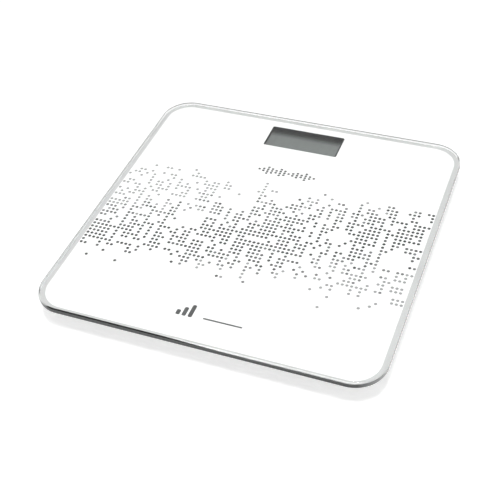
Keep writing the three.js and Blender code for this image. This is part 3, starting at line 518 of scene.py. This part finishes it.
def print_film():
    """The white film, with its window over the display."""
    width = FILM_HIGH.x - FILM_LOW.x
    outline = rounded_outline((0, 0), width, width, PRINT_CORNER, CORNER_STEPS)
    window = rounded_outline((0, WINDOW_Y), WINDOW_WIDTH, WINDOW_DEPTH, WINDOW_CORNER, 5)
    shape = slab(outline, [window], FILM_LOW.z, FILM_HIGH.z - PRINT_GAP)
    piece("print_film", shape, WHITE_PRINT, PLATFORM, ["back_print"])


def border_painted_shade():
    """A pale grey ring between the film and the arris, as painted shade: it stands in for the shaded floor
    seen through the clear margin.
    """
    film = FILM_HIGH.x - FILM_LOW.x + 2 * PRINT_GAP
    border = GLASS_HIGH.x - GLASS_LOW.x - 2 * ARRIS
    outline = rounded_outline((0, 0), border, border, GLASS_CORNER - ARRIS, CORNER_STEPS)
    inside = rounded_outline((0, 0), film, film, PRINT_CORNER + PRINT_GAP, CORNER_STEPS)
    shape = slab(outline, [inside], FILM_HIGH.z - BORDER_THICKNESS - PRINT_GAP, FILM_HIGH.z - PRINT_GAP)
    piece("border_painted_shade", shape, BORDER_PAINTED_SHADE, PLATFORM)


INK_TOP = FILM_HIGH.z - INK_GAP
INK_BOTTOM = INK_TOP - INK_THICKNESS
DOT_TONES = (0.006, 0.02, 0.06, 0.14, 0.27)
DOT_INKS = [ink(f"grey_ink_{i + 1}", tone) for i, tone in enumerate(DOT_TONES)]
MARK_INK = ink("mark_ink", 0.05)

# The dots stand on a grid, in blocks of columns. Some of a block's columns are dense and some thin.
DOT_SEED = 11
DOT_RADIUS = 1.42 * MM
DOT_SIDES = 12
DOT_COLUMNS = 73
DOT_ROWS = 32
DOT_PITCH_X = 3.96 * MM
DOT_PITCH_Y = 4.29 * MM
DOT_LOWEST_Y = -81 * MM
BLOCK_WIDTHS = (3, 4, 4, 5, 6)
BLOCK_COLUMNS = ((1, 1, 0, 1, 1, 1), (1, 0, 1, 1, 0, 1), (1, 1, 1, 0, 1, 1), (1, 1, 1, 1, 1, 1))
GAP_WIDTHS = (0, 1, 1)
SPARSE_ROW_EVERY = 7

# The chance of a dot in each kind of column, and its share in a sparse row and in a quiet spot.
# Each quiet spot is its x, y and radius in millimetres.
DENSE_CHANCE = 0.90
THIN_CHANCE = 0.42
GAP_CHANCE = 0.14
SPARSE_SHARE = 0.45
QUIET_SHARE = 0.10
QUIET_SPOTS = ((-29, 26, 17), (127, -13, 12), (-62, -12, 10), (72, 3, 9), (-91, 39, 8), (9, 34, 9))

# The band is darkest along a rising line. Away from the line the dots grow paler and fewer.
DARK_LINE_Y = -64 * MM
DARK_LINE_SLOPE = 0.32
FADE_LENGTH = 20 * MM
LINE_SHARE = 1.08
SHARE_FADE = 0.12
LEAST_SHARE = 0.68
LINE_TONE = 0.2
TONE_FADE = 1.35
TONE_SPREAD = 0.8

# The ragged edges of the band, and the strays beyond them
BAND_LOW = -54 * MM
BAND_LOW_DIP = 14 * MM
BAND_LOW_SPREAD = 5 * MM
BAND_HIGH = 36 * MM
BAND_HIGH_RISE = 9 * MM
BAND_HIGH_SPREAD = 7 * MM
STRAY_CHANCE = 0.30
STRAY_REACH = 9 * MM


def ink_layer(outline, bottom=INK_BOTTOM, top=INK_TOP):
    """A thin closed layer of ink with the given outline."""
    return lofted([[(x, y, z) for x, y in outline] for z in (bottom, top)])


def ink_disc(x, y, radius):
    angles = [2 * math.pi * i / DOT_SIDES for i in range(DOT_SIDES)]
    return ink_layer([(x + radius * math.cos(a), y + radius * math.sin(a)) for a in angles])


def ink_tile(x, y, width, depth, corner):
    return ink_layer(rounded_outline((x, y), width, depth, corner, 3))


def dot_columns(rng):
    """For each column, the chance of a dot and the shift of its block's sparse rows."""
    columns = []
    while len(columns) < DOT_COLUMNS:
        width = rng.choice(BLOCK_WIDTHS)
        dense = rng.choice(BLOCK_COLUMNS)
        shift = rng.randint(0, SPARSE_ROW_EVERY - 1)
        columns += [(DENSE_CHANCE if dense[i] else THIN_CHANCE, shift) for i in range(width)]
        columns += [(GAP_CHANCE, shift)] * rng.choice(GAP_WIDTHS)
    return columns[:DOT_COLUMNS]


def in_quiet_spot(x, y):
    place = Vector((x, y))
    return any((place - Vector((a, b)) * MM).length < radius * MM for a, b, radius in QUIET_SPOTS)


def dot_pattern():
    """(x, y, tone number) of every printed dot."""
    rng = random.Random(DOT_SEED)
    columns = dot_columns(rng)
    band_edges = [
        (rng.gauss(0, BAND_LOW_SPREAD), rng.gauss(0, BAND_HIGH_SPREAD)) for _ in range(DOT_COLUMNS)
    ]
    dots = []
    for column, (column_chance, shift) in enumerate(columns):
        x = (column - (DOT_COLUMNS - 1) / 2) * DOT_PITCH_X
        along = x / (FILM_HIGH.x - FILM_LOW.x) + 0.5
        dark_y = DARK_LINE_Y + DARK_LINE_SLOPE * (x - FILM_LOW.x)
        low_edge, high_edge = band_edges[column // 2]
        low = BAND_LOW - BAND_LOW_DIP * (1 - along) ** 4 + low_edge
        high = BAND_HIGH + BAND_HIGH_RISE * along + high_edge
        for row in range(DOT_ROWS):
            y = DOT_LOWEST_Y + row * DOT_PITCH_Y
            away = abs(y - dark_y) / FADE_LENGTH
            chance = column_chance
            if (row + shift) % SPARSE_ROW_EVERY == 0:
                chance *= SPARSE_SHARE
            chance *= max(LEAST_SHARE, LINE_SHARE - SHARE_FADE * away)
            if not low < y < high:
                beyond = max(low - y, y - high)
                chance = STRAY_CHANCE * math.exp(-beyond / STRAY_REACH)
            if in_quiet_spot(x, y):
                chance *= QUIET_SHARE
            roll = rng.random()
            tone = LINE_TONE + TONE_FADE * away + rng.gauss(0, TONE_SPREAD)
            if roll < chance:
                dots.append((x, y, round(min(len(DOT_TONES) - 1, max(0, tone)))))
    return dots


def printed_dots():
    """The band of dots, as one piece with an ink for each tone."""
    dots = dot_pattern()
    shape = merged(*[ink_disc(x, y, DOT_RADIUS) for x, y, _ in dots])
    item = piece("printed_dots", shape, DOT_INKS, PLATFORM)
    faces_each = DOT_SIDES + 2
    for face in item.data.polygons:
        face.material_index = dots[face.index // faces_each][2]


# Plain signs: a row of sound level bars, and three rising bars with a line
LEVELS = (1, 2, 4, 3, 2, 4, 3, 1, 2, 3, 2, 4, 2, 1)
LEVEL_PITCH = 4.1 * MM
LEVEL_TILE = 2.3 * MM
LEVEL_TILE_CORNER = 0.5 * MM
LEVEL_STEP = 2.9 * MM
LEVELS_Y = 70.5 * MM
SIGN_BOTTOM = (-26 * MM, -122 * MM)
SIGN_BAR_WIDTH = 3.6 * MM
SIGN_BAR_PITCH = 5.4 * MM
SIGN_BAR_HEIGHTS = (5.5 * MM, 9.5 * MM, 13.5 * MM)
SIGN_BAR_CORNER = 1.2 * MM
SIGN_LINE_PLACE = (13 * MM, -120 * MM)
SIGN_LINE = (34 * MM, 1.6 * MM)
SIGN_LINE_CORNER = 0.7 * MM


def sound_levels():
    tiles = []
    for i, level in enumerate(LEVELS):
        x = (i - (len(LEVELS) - 1) / 2) * LEVEL_PITCH
        for step in range(level):
            y = LEVELS_Y + (step - (level - 1) / 2) * LEVEL_STEP
            tiles.append(ink_tile(x, y, LEVEL_TILE, LEVEL_TILE, LEVEL_TILE_CORNER))
    piece("sound_level_sign", merged(*tiles), MARK_INK, PLATFORM)


def front_sign():
    left, bottom = SIGN_BOTTOM
    bars = [
        ink_tile(left + i * SIGN_BAR_PITCH, bottom + height / 2, SIGN_BAR_WIDTH, height, SIGN_BAR_CORNER)
        for i, height in enumerate(SIGN_BAR_HEIGHTS)
    ]
    line = ink_tile(*SIGN_LINE_PLACE, *SIGN_LINE, SIGN_LINE_CORNER)
    piece("front_sign", merged(*bars, line), MARK_INK, PLATFORM)


# Seven segment shapes that show faintly in the display while it is off
DIGITS = 4
DIGITS_X = -2 * MM
DIGIT_HEIGHT = 19 * MM
DIGIT_WIDTH = 10 * MM
DIGIT_PITCH = 15 * MM
SEGMENT = 1.8 * MM
SEGMENT_GAP = 0.25 * MM
DIGIT_SLANT = 0.08
GHOST_BOTTOM = LCD_HIGH.z + 0.01 * MM
GHOST_TOP = LCD_HIGH.z + INK_GAP
# The faint segments carry the display's painted shade too, a little darker
GHOST_INK = lcd_surface("lcd_ghost_segments", 0.93)


def segment(x0, y0, x1, y1):
    """A pointed bar between two places, in the plane of the display."""
    along = (Vector((x1, y1)) - Vector((x0, y0))).normalized()
    across = Vector((-along.y, along.x)) * SEGMENT / 2
    start = Vector((x0, y0)) + along * SEGMENT_GAP
    end = Vector((x1, y1)) - along * SEGMENT_GAP
    inner = along * SEGMENT / 2
    corners = [
        start, start + inner - across, end - inner - across,
        end, end - inner + across, start + inner + across,
    ]
    outline = [(p.x + DIGIT_SLANT * (p.y - WINDOW_Y), p.y) for p in corners]
    return ink_layer(outline, GHOST_BOTTOM, GHOST_TOP)


def digit(x):
    """The seven segments of one digit."""
    left, right = x - DIGIT_WIDTH / 2, x + DIGIT_WIDTH / 2
    low, high = WINDOW_Y - DIGIT_HEIGHT / 2, WINDOW_Y + DIGIT_HEIGHT / 2
    rows = [segment(left, y, right, y) for y in (low, WINDOW_Y, high)]
    halves = ((low, WINDOW_Y), (WINDOW_Y, high))
    sides = [segment(side, y0, side, y1) for side in (left, right) for y0, y1 in halves]
    return rows + sides


def display():
    """The display glass, and the faint segments on it."""
    bottom, top = LCD_LOW.z, LCD_HIGH.z
    edge = softened([(LCD_MARGIN, bottom), (0, bottom), (0, top), (LCD_MARGIN, top)], LCD_ROUNDING)
    width, depth = LCD_HIGH.x - LCD_LOW.x, LCD_HIGH.y - LCD_LOW.y
    shape = pane((0, WINDOW_Y), width, depth, lambda inset: LCD_CORNER - inset / 2, 4, edge)
    piece("lcd_glass", shape, LCD_SURFACE, PLATFORM, ["lcd_panel"])
    places = [(i - (DIGITS - 1) / 2) * DIGIT_PITCH + DIGITS_X for i in range(DIGITS)]
    segments = [part for x in places for part in digit(x)]
    piece("lcd_ghost_segments", merged(*segments), GHOST_INK, PLATFORM)


# Feet: radii and heights in millimetres, round each foot's own upright axis

CUP_RADIUS = 25
CUP_WALL = 2
CUP_BOTTOM = 3.6
CUP_CHAMFER = 0.8
CUP_CEILING = 14.25
CUP_TOP = 15.7
CUP_ROUNDING = 0.3
RIM_RADIUS = 19
RIM_TOP = 4.8
RIB_LENGTH = 20
RIB_WIDTH = 3
RIB_PLACES = (-15, 12)
RIB_HEIGHTS = (11.8, 15)
NOTCH_REACH = (18, 22.6)
NOTCH_WIDTH = 14
NOTCH_HEIGHTS = (2.6, 4.9)
LEAD_WAY_REACH = (9.5, 26)
LEAD_WAY_WIDTH = 3.2
LEAD_WAY_HEIGHTS = (11.95, 17)
CAP_RADIUS = 18.5
CAP_WALL = 2
CAP_BOTTOM = 1
CAP_CHAMFER = 0.5
CAP_FLOOR = 4.1
CAP_TOP = 6.3
CAP_ROUNDING = 0.25
EAR_REACH = (17.5, 21.8)
EAR_WIDTH = 12
EAR_BOTTOM = 5.1
POST_RADIUS = 4
POST_CHAMFER = (0.8, 0.6)
POST_TOP = 9.5
PAD_RADIUS = 16
PAD_CHAMFER = 0.6
PAD_TOP = 2.25
PAD_ROUNDING = 0.2
PAD_SEAT_RADIUS = 16.3
GROOVES = (4, 8, 12)
GROOVE_WIDTH = 1.2
GROOVE_DEPTH = 0.4
GROOVE_SLOPE = 0.3


def foot_place(place):
    """The foot's middle on the floor, with its own X towards the lead's way out."""
    low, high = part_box(f"foot_pad_{place}")
    x, y = (low.x + high.x) / 2, (low.y + high.y) / 2
    turn = math.pi / 2 if place.startswith("front") else (math.pi if x > 0 else 0)
    return Matrix.Translation((x, y, 0)) @ Matrix.Rotation(turn, 4, "Z")


def mm_points(points):
    """Flat points, from millimetres."""
    return [(a * MM, b * MM) for a, b in points]


def mm_block(xs, ys, zs):
    """A box from its ranges in millimetres."""
    return block(*[value * MM for value in (*xs, *ys, *zs)])


def four_spokes(first, reach, width, heights):
    """Blocks that stand out from the axis on four sides, from the first angle on."""
    vertices, faces = mm_block(reach, (-width / 2, width / 2), heights)
    turns = [Matrix.Rotation(first + i * math.pi / 2, 3, "Z") for i in range(4)]
    return [([tuple(turn @ Vector(v)) for v in vertices], faces) for turn in turns]


def foot_frame_shape():
    """A cup with a notched inner rim, two ribs under its ceiling and a way out for the lead."""
    inside = CUP_RADIUS - CUP_WALL
    cup = turned(softened(mm_points([
        (0, CUP_CEILING), (inside, CUP_CEILING), (inside, RIM_TOP), (RIM_RADIUS, RIM_TOP),
        (RIM_RADIUS, CUP_BOTTOM), (CUP_RADIUS - CUP_CHAMFER, CUP_BOTTOM),
        (CUP_RADIUS, CUP_BOTTOM + CUP_CHAMFER), (CUP_RADIUS, CUP_TOP), (0, CUP_TOP),
    ]), CUP_ROUNDING * MM))
    half = RIB_LENGTH / 2
    ribs = [mm_block((-half, half), (y, y + RIB_WIDTH), RIB_HEIGHTS) for y in RIB_PLACES]
    half = LEAD_WAY_WIDTH / 2
    lead_way = mm_block(LEAD_WAY_REACH, (-half, half), LEAD_WAY_HEIGHTS)
    notches = four_spokes(math.pi / 4, NOTCH_REACH, NOTCH_WIDTH, NOTCH_HEIGHTS)
    return carved(carved(cup, "UNION", *ribs), "DIFFERENCE", *notches, lead_way)


def foot_cap_shape():
    """A round cap with four ears, a seat for the pad and the post that presses on the load cell."""
    inside = CAP_RADIUS - CAP_WALL
    post_in, post_down = POST_CHAMFER
    shell = turned(softened(mm_points([
        (0, PAD_TOP), (PAD_SEAT_RADIUS, PAD_TOP), (PAD_SEAT_RADIUS, CAP_BOTTOM),
        (CAP_RADIUS - CAP_CHAMFER, CAP_BOTTOM), (CAP_RADIUS, CAP_BOTTOM + CAP_CHAMFER),
        (CAP_RADIUS, CAP_TOP), (inside, CAP_TOP), (inside, CAP_FLOOR), (POST_RADIUS, CAP_FLOOR),
        (POST_RADIUS, POST_TOP - post_down), (POST_RADIUS - post_in, POST_TOP), (0, POST_TOP),
    ]), CAP_ROUNDING * MM))
    return carved(shell, "UNION", *four_spokes(0, EAR_REACH, EAR_WIDTH, (EAR_BOTTOM, CAP_TOP)))


def foot_pad_shape():
    """A rubber pad with three rings cut in its underside."""
    profile = [(0, 0)]
    for radius in GROOVES:
        profile += [
            (radius, 0), (radius + GROOVE_SLOPE, GROOVE_DEPTH),
            (radius + GROOVE_WIDTH - GROOVE_SLOPE, GROOVE_DEPTH), (radius + GROOVE_WIDTH, 0),
        ]
    profile += [
        (PAD_RADIUS - PAD_CHAMFER, 0), (PAD_RADIUS, PAD_CHAMFER), (PAD_RADIUS, PAD_TOP), (0, PAD_TOP),
    ]
    return turned(softened(mm_points(profile), PAD_ROUNDING * MM))


def feet():
    frame_shape, cap_shape, pad_shape = foot_frame_shape(), foot_cap_shape(), foot_pad_shape()
    for place in FEET:
        where = foot_place(place)
        body = f"foot_{place}"
        piece(f"frame_of_foot_{place}", frame_shape, WHITE_PLASTIC, PLATFORM,
              [f"foot_frame_{place}"], where)
        piece(f"cap_of_foot_{place}", cap_shape, GREY_PLASTIC, body,
              [f"foot_cap_{place}"], where)
        piece(f"pad_of_foot_{place}", pad_shape, DARK_RUBBER, body,
              [f"foot_pad_{place}"], where)


# Screws, buttons, batteries and leads: radii and heights in millimetres

SCREW_SEED = 5
SCREW_SIDES = 40
THREAD_START = 0.8
THREAD_PITCH = 0.9
SCREW_ROUNDING = 0.06
SMALL_SIDES = 64

# Radius of the head, heights of its two faces, radius of the shank and height of the tip
COVER_SCREW = (2.75, 2.75, 4.25, 1.3, 12)
BOARD_SCREW = (2, 5.75, 7, 1, 12.5)

BUTTON_RADIUS = 3.5
BUTTON_FACE = 2.1
FLANGE_RADIUS = 4.7
FLANGE_BOTTOM = 4.3
FLANGE_TOP = 4.8
PLUNGER_RADIUS = 1
PLUNGER_TOP = 6.1
BUTTON_ROUNDING = 0.18

CELL_RADIUS = 5.25
CELL_LENGTH = 44.5
CELL_SHOULDER = 43.5
CELL_BAND = 32
CELL_METAL_RADIUS = 4.3
CELL_NUB_RADIUS = 1.9
CELL_ROUNDING = 0.12

WIRE_PITCH = 0.72
WIRE_FILL = 0.97
WIRE_SIDES = 10


def screw_shape(head, bottom, top, shank, tip):
    """A pan head screw that points up, with a cross recess and a thread."""
    root, cone = 0.78 * shank, tip - 2 * shank
    height = top + THREAD_START
    profile = [
        (0, bottom), (0.6 * head, bottom), (0.88 * head, bottom + 0.2), (head, bottom + 0.6),
        (head, top), (shank, top), (shank, height),
    ]
    while height < cone - THREAD_PITCH:
        profile += [(root, height + 0.2), (root, height + 0.55), (shank, height + 0.8)]
        height += THREAD_PITCH
    profile += [(root, cone), (0, tip)]
    arm, half = 0.6 * head, 0.16 * head
    slots = [
        lofted([
            [(x * scale * MM, y * scale * MM, z * MM) for x, y in
             ((-across, -along), (across, -along), (across, along), (-across, along))]
            for scale, z in ((1.1, bottom - 0.2), (0.6, bottom + 0.75))
        ])
        for across, along in ((arm, half), (half, arm))
    ]
    screw = turned(softened(mm_points(profile), SCREW_ROUNDING * MM), SCREW_SIDES)
    return carved(screw, "DIFFERENCE", *slots)


def screws():
    """All the screws, each with its recess at its own angle."""
    rng = random.Random(SCREW_SEED)
    for kind, count, sizes in (("cover", 6, COVER_SCREW), ("board", 2, BOARD_SCREW)):
        shape = screw_shape(*sizes)
        for i in range(1, count + 1):
            low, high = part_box(f"{kind}_screw_{i}")
            place = Matrix.Translation(((low.x + high.x) / 2, (low.y + high.y) / 2, 0))
            turn = Matrix.Rotation(rng.uniform(0, math.pi / 2), 4, "Z")
            piece(f"pan_head_{kind}_screw_{i}", shape, STEEL, PLATFORM,
                  [f"{kind}_screw_{i}"], place @ turn)


def buttons():
    """Round buttons with a dished face, a flange inside the cover and a plunger."""
    shape = turned(softened(mm_points([
        (0, BUTTON_FACE + 0.35), (1.6, BUTTON_FACE + 0.25), (2.9, BUTTON_FACE),
        (BUTTON_RADIUS, BUTTON_FACE + 0.3), (BUTTON_RADIUS, FLANGE_BOTTOM),
        (FLANGE_RADIUS, FLANGE_BOTTOM), (FLANGE_RADIUS, FLANGE_TOP),
        (PLUNGER_RADIUS, FLANGE_TOP), (PLUNGER_RADIUS, PLUNGER_TOP), (0, PLUNGER_TOP),
    ]), BUTTON_ROUNDING * MM), SMALL_SIDES)
    for name in ("unit_button", "language_button"):
        low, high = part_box(name)
        place = Matrix.Translation(((low.x + high.x) / 2, (low.y + high.y) / 2, 0))
        piece(f"cap_of_{name}", shape, GREY_PLASTIC, name, [name], place)


def cell_shape():
    """A cell that stands on its flat end, with a rolled sleeve and a nub."""
    return turned(softened(mm_points([
        (0, 0.3), (3, 0.3), (3.4, 0), (CELL_METAL_RADIUS, 0), (4.9, 0.15), (CELL_RADIUS, 0.6),
        (CELL_RADIUS, CELL_BAND), (CELL_RADIUS, CELL_SHOULDER - 0.5), (4.9, CELL_SHOULDER - 0.1),
        (CELL_METAL_RADIUS, CELL_SHOULDER), (4, CELL_SHOULDER - 0.4),
        (CELL_NUB_RADIUS, CELL_SHOULDER - 0.4), (CELL_NUB_RADIUS, CELL_LENGTH - 0.3),
        (CELL_NUB_RADIUS - 0.3, CELL_LENGTH), (0, CELL_LENGTH),
    ]), CELL_ROUNDING * MM), SMALL_SIDES)


def batteries():
    """Two cells, one each way, with a pale band towards the nub and metal ends."""
    shape = cell_shape()
    for name in ("battery_front", "battery_rear"):
        low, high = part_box(name)
        forward = name == "battery_front"
        start = low.x if forward else high.x
        turn = Matrix.Rotation(math.pi / 2 if forward else -math.pi / 2, 4, "Y")
        place = Matrix.Translation((start, (low.y + high.y) / 2, (low.z + high.z) / 2)) @ turn
        item = piece(f"cell_{name}", shape, [SLEEVE, SLEEVE_BAND, NICKEL], PLATFORM,
                     [name], place)
        upright = place.inverted()
        for face in item.data.polygons:
            centre = upright @ face.center
            if math.hypot(centre.x, centre.y) < CELL_METAL_RADIUS * MM:
                face.material_index = 2
            else:
                face.material_index = 1 if centre.z > CELL_BAND * MM else 0


def smooth_route(points, steps=8):
    """A smooth curve through points in millimetres."""
    points = [Vector(point) * MM for point in points]
    padded = [2 * points[0] - points[1], *points, 2 * points[-1] - points[-2]]
    route = []
    for a, b, c, d in zip(padded, padded[1:], padded[2:], padded[3:]):
        for step in range(steps):
            t = step / steps
            bend = (2 * a - 5 * b + 4 * c - d) * t * t + (3 * b - a - 3 * c + d) * t ** 3
            route.append((2 * b + (c - a) * t + bend) / 2)
    return route + [points[-1]]


def wire(route, offset, radius):
    """A wire along the route, beside it by the offset."""
    rings = []
    for i, point in enumerate(route):
        along = (route[min(i + 1, len(route) - 1)] - route[max(i - 1, 0)]).normalized()
        across = along.cross(Vector((0, 0, 1))).normalized()
        up = across.cross(along)
        angles = [2 * math.pi * k / WIRE_SIDES for k in range(WIRE_SIDES)]
        rings.append([
            tuple(point + across * (offset + radius * math.sin(a)) + up * radius * math.cos(a))
            for a in angles
        ])
    return lofted(rings)


def wires(name, points, colours, replaces):
    """A flat lead of wires side by side."""
    route = smooth_route(points)
    pitch = WIRE_PITCH * MM
    offsets = [(i - (len(colours) - 1) / 2) * pitch for i in range(len(colours))]
    shapes = [wire(route, offset, WIRE_FILL * pitch / 2) for offset in offsets]
    item = piece(name, merged(*shapes), colours, PLATFORM, [replaces])
    faces_each = len(item.data.polygons) // len(colours)
    for face in item.data.polygons:
        face.material_index = face.index // faces_each


def leads():
    """The sensor leads, each as the three wires that it stands for. Their routes are in millimetres."""
    foot = 112  # from the middle of the plate to each foot, both ways
    rear = [
        (foot - 10.4, foot, 13.3), (foot - 16, foot, 13.7), (foot - 22, foot, 13.7), (85, foot, 13.3),
        (81, foot, 13), (74, foot, 12.4), (66, foot, 10.6), (59, foot, 9.9),
    ]
    front = [
        (foot, 10.4 - foot, 13.2), (foot, 16 - foot, 14), (foot, 22 - foot, 14.3), (foot, -60, 14.3),
        (foot, -10, 14.3), (foot, 40, 14.3), (foot - 4, 61, 14.3), (98, 70, 14.3), (88, 72, 13.9),
        (81, 72, 13), (74, 75, 12.4), (64, 88, 10.9), (56, 101, 9.9),
    ]
    for place in FEET:
        side = 1 if place.endswith("right") else -1
        route = [(side * x, y, z) for x, y, z in (front if place.startswith("front") else rear)]
        wires(f"wires_{place}", route, [RED_WIRE, BLACK_WIRE, WHITE_WIRE], f"sensor_lead_{place}")


# Carried-over CAD nodes

WELD_REACH = 0.002 * MM
FLAT_ANGLE = math.radians(0.5)
CARRIED_BEVEL = 0.2 * MM
SLOT_OF = {part["node"]: part["material_slot"] for part in frame["record"]["subparts"]}
FINISH_OF_SLOT = {
    "white_plastic": WHITE_PLASTIC,
    "grey_plastic": GREY_PLASTIC,
    "black_plastic": BLACK_PLASTIC,
    "dark_rubber": DARK_RUBBER,
    "stamped_steel": STEEL,
    "nickel_plate": NICKEL,
    "circuit_board": BOARD,
    "black_epoxy": EPOXY,
    "ferrite": FERRITE,
    "speaker_film": SPEAKER_FILM,
    "battery_sleeve": SLEEVE,
    "white_silicone": SILICONE,
    "lead_insulation": INSULATION,
}


def carried(node):
    """A CAD node as it is, with welded corners, soft edges and its own finish."""
    item = frame["nodes"][node]
    item.data.materials.clear()
    item.data.materials.append(FINISH_OF_SLOT[SLOT_OF[node]])
    weld = item.modifiers.new("weld", "WELD")
    weld.merge_threshold = WELD_REACH
    planar = item.modifiers.new("planar", "DECIMATE")
    planar.decimate_type = "DISSOLVE"
    planar.angle_limit = FLAT_ANGLE
    edges = item.modifiers.new("edges", "BEVEL")
    edges.width = CARRIED_BEVEL
    edges.segments = 2
    edges.limit_method = "ANGLE"
    edges.angle_limit = SMOOTH_ANGLE
    item.data.shade_smooth()
    shading = item.modifiers.new("shading", "WEIGHTED_NORMAL")
    shading.keep_sharp = False


def carried_nodes():
    for name, node in frame["nodes"].items():
        if not node.hide_render:
            carried(name)


# Floor, light and camera

FLOOR_REACH = 8
FLOOR_GLOW = 0.31

# The sky is a little brighter towards +Y. Low down it is white, so that it has no edge with the floor.
SKY_BY_Y = (0.46, 0.52)
SKY_Y_RANGE = (-0.8, 0.5)
SKY_BY_HEIGHT = (1.05, 0.3)
SKY_HEIGHT_RANGE = (0.03, 0.36)
KEY_PLACE = (0.06, -0.10, 1.7)
KEY_SIZE = 0.5
KEY_POWER = 12

CAMERA_PLACE = (0.2535, -0.5805, 0.5898)
CAMERA_TARGET = (0.0036, -0.0352, 0.01885)
CAMERA_ROLL = math.radians(-5.29)
CAMERA_LENS = 69.66
CAMERA_SENSOR = 36


def floor():
    """A white floor that glows a little, so that only the soft shadow shows on it."""
    material, _, bsdf = finish("floor", (0.9, 0.9, 0.9), 0.9, grain=2 * MM, variation=0.005)
    bsdf.inputs["Emission Color"].default_value = (1, 1, 1, 1)
    bsdf.inputs["Emission Strength"].default_value = FLOOR_GLOW
    corners = [(x * FLOOR_REACH, y * FLOOR_REACH, 0) for x, y in ((-1, -1), (1, -1), (1, 1), (-1, 1))]
    item = mesh_object("floor", (corners, [(0, 1, 2, 3)]))
    item.data.materials.append(material)


def sky():
    """Soft light from all round."""
    world = bpy.data.worlds.new("studio")
    world.use_nodes = True
    tree = world.node_tree
    background = tree.nodes["Background"]
    directions = tree.nodes.new("ShaderNodeTexCoord")
    split = tree.nodes.new("ShaderNodeSeparateXYZ")
    tree.links.new(directions.outputs["Generated"], split.inputs["Vector"])
    brightness = remapped(tree, split.outputs["Y"], *SKY_BY_Y, *SKY_Y_RANGE)
    horizon = remapped(tree, split.outputs["Z"], *SKY_BY_HEIGHT, *SKY_HEIGHT_RANGE)
    brighter = tree.nodes.new("ShaderNodeMath")
    brighter.operation = "MAXIMUM"
    tree.links.new(brightness, brighter.inputs[0])
    tree.links.new(horizon, brighter.inputs[1])
    tree.links.new(brighter.outputs["Value"], background.inputs["Strength"])
    background.inputs["Color"].default_value = (1, 1, 1, 1)
    bpy.context.scene.world = world


def key_light():
    """A broad lamp nearly overhead, which faces the scale."""
    data = bpy.data.lights.new("key", "AREA")
    data.shape = "DISK"
    data.size = KEY_SIZE
    data.energy = KEY_POWER
    item = bpy.data.objects.new("key", data)
    item.location = KEY_PLACE
    item.rotation_euler = (-Vector(KEY_PLACE)).to_track_quat("-Z", "Y").to_euler()
    bpy.context.scene.collection.objects.link(item)


def camera():
    """The view from above the front right corner."""
    data = bpy.data.cameras.new("camera")
    data.sensor_width = CAMERA_SENSOR
    data.lens = CAMERA_LENS
    item = bpy.data.objects.new("camera", data)
    item.location = CAMERA_PLACE
    aim = (Vector(CAMERA_TARGET) - item.location).to_track_quat("-Z", "Y")
    item.rotation_euler = (aim.to_matrix() @ Matrix.Rotation(CAMERA_ROLL, 3, "Z")).to_euler()
    bpy.context.scene.collection.objects.link(item)
    bpy.context.scene.camera = item


bpy.context.scene.view_settings.view_transform = "Standard"
camera()
sky()
key_light()
floor()
glass_plate()
print_film()
border_painted_shade()
printed_dots()
sound_levels()
front_sign()
display()
feet()
screws()
buttons()
batteries()
leads()
carried_nodes()
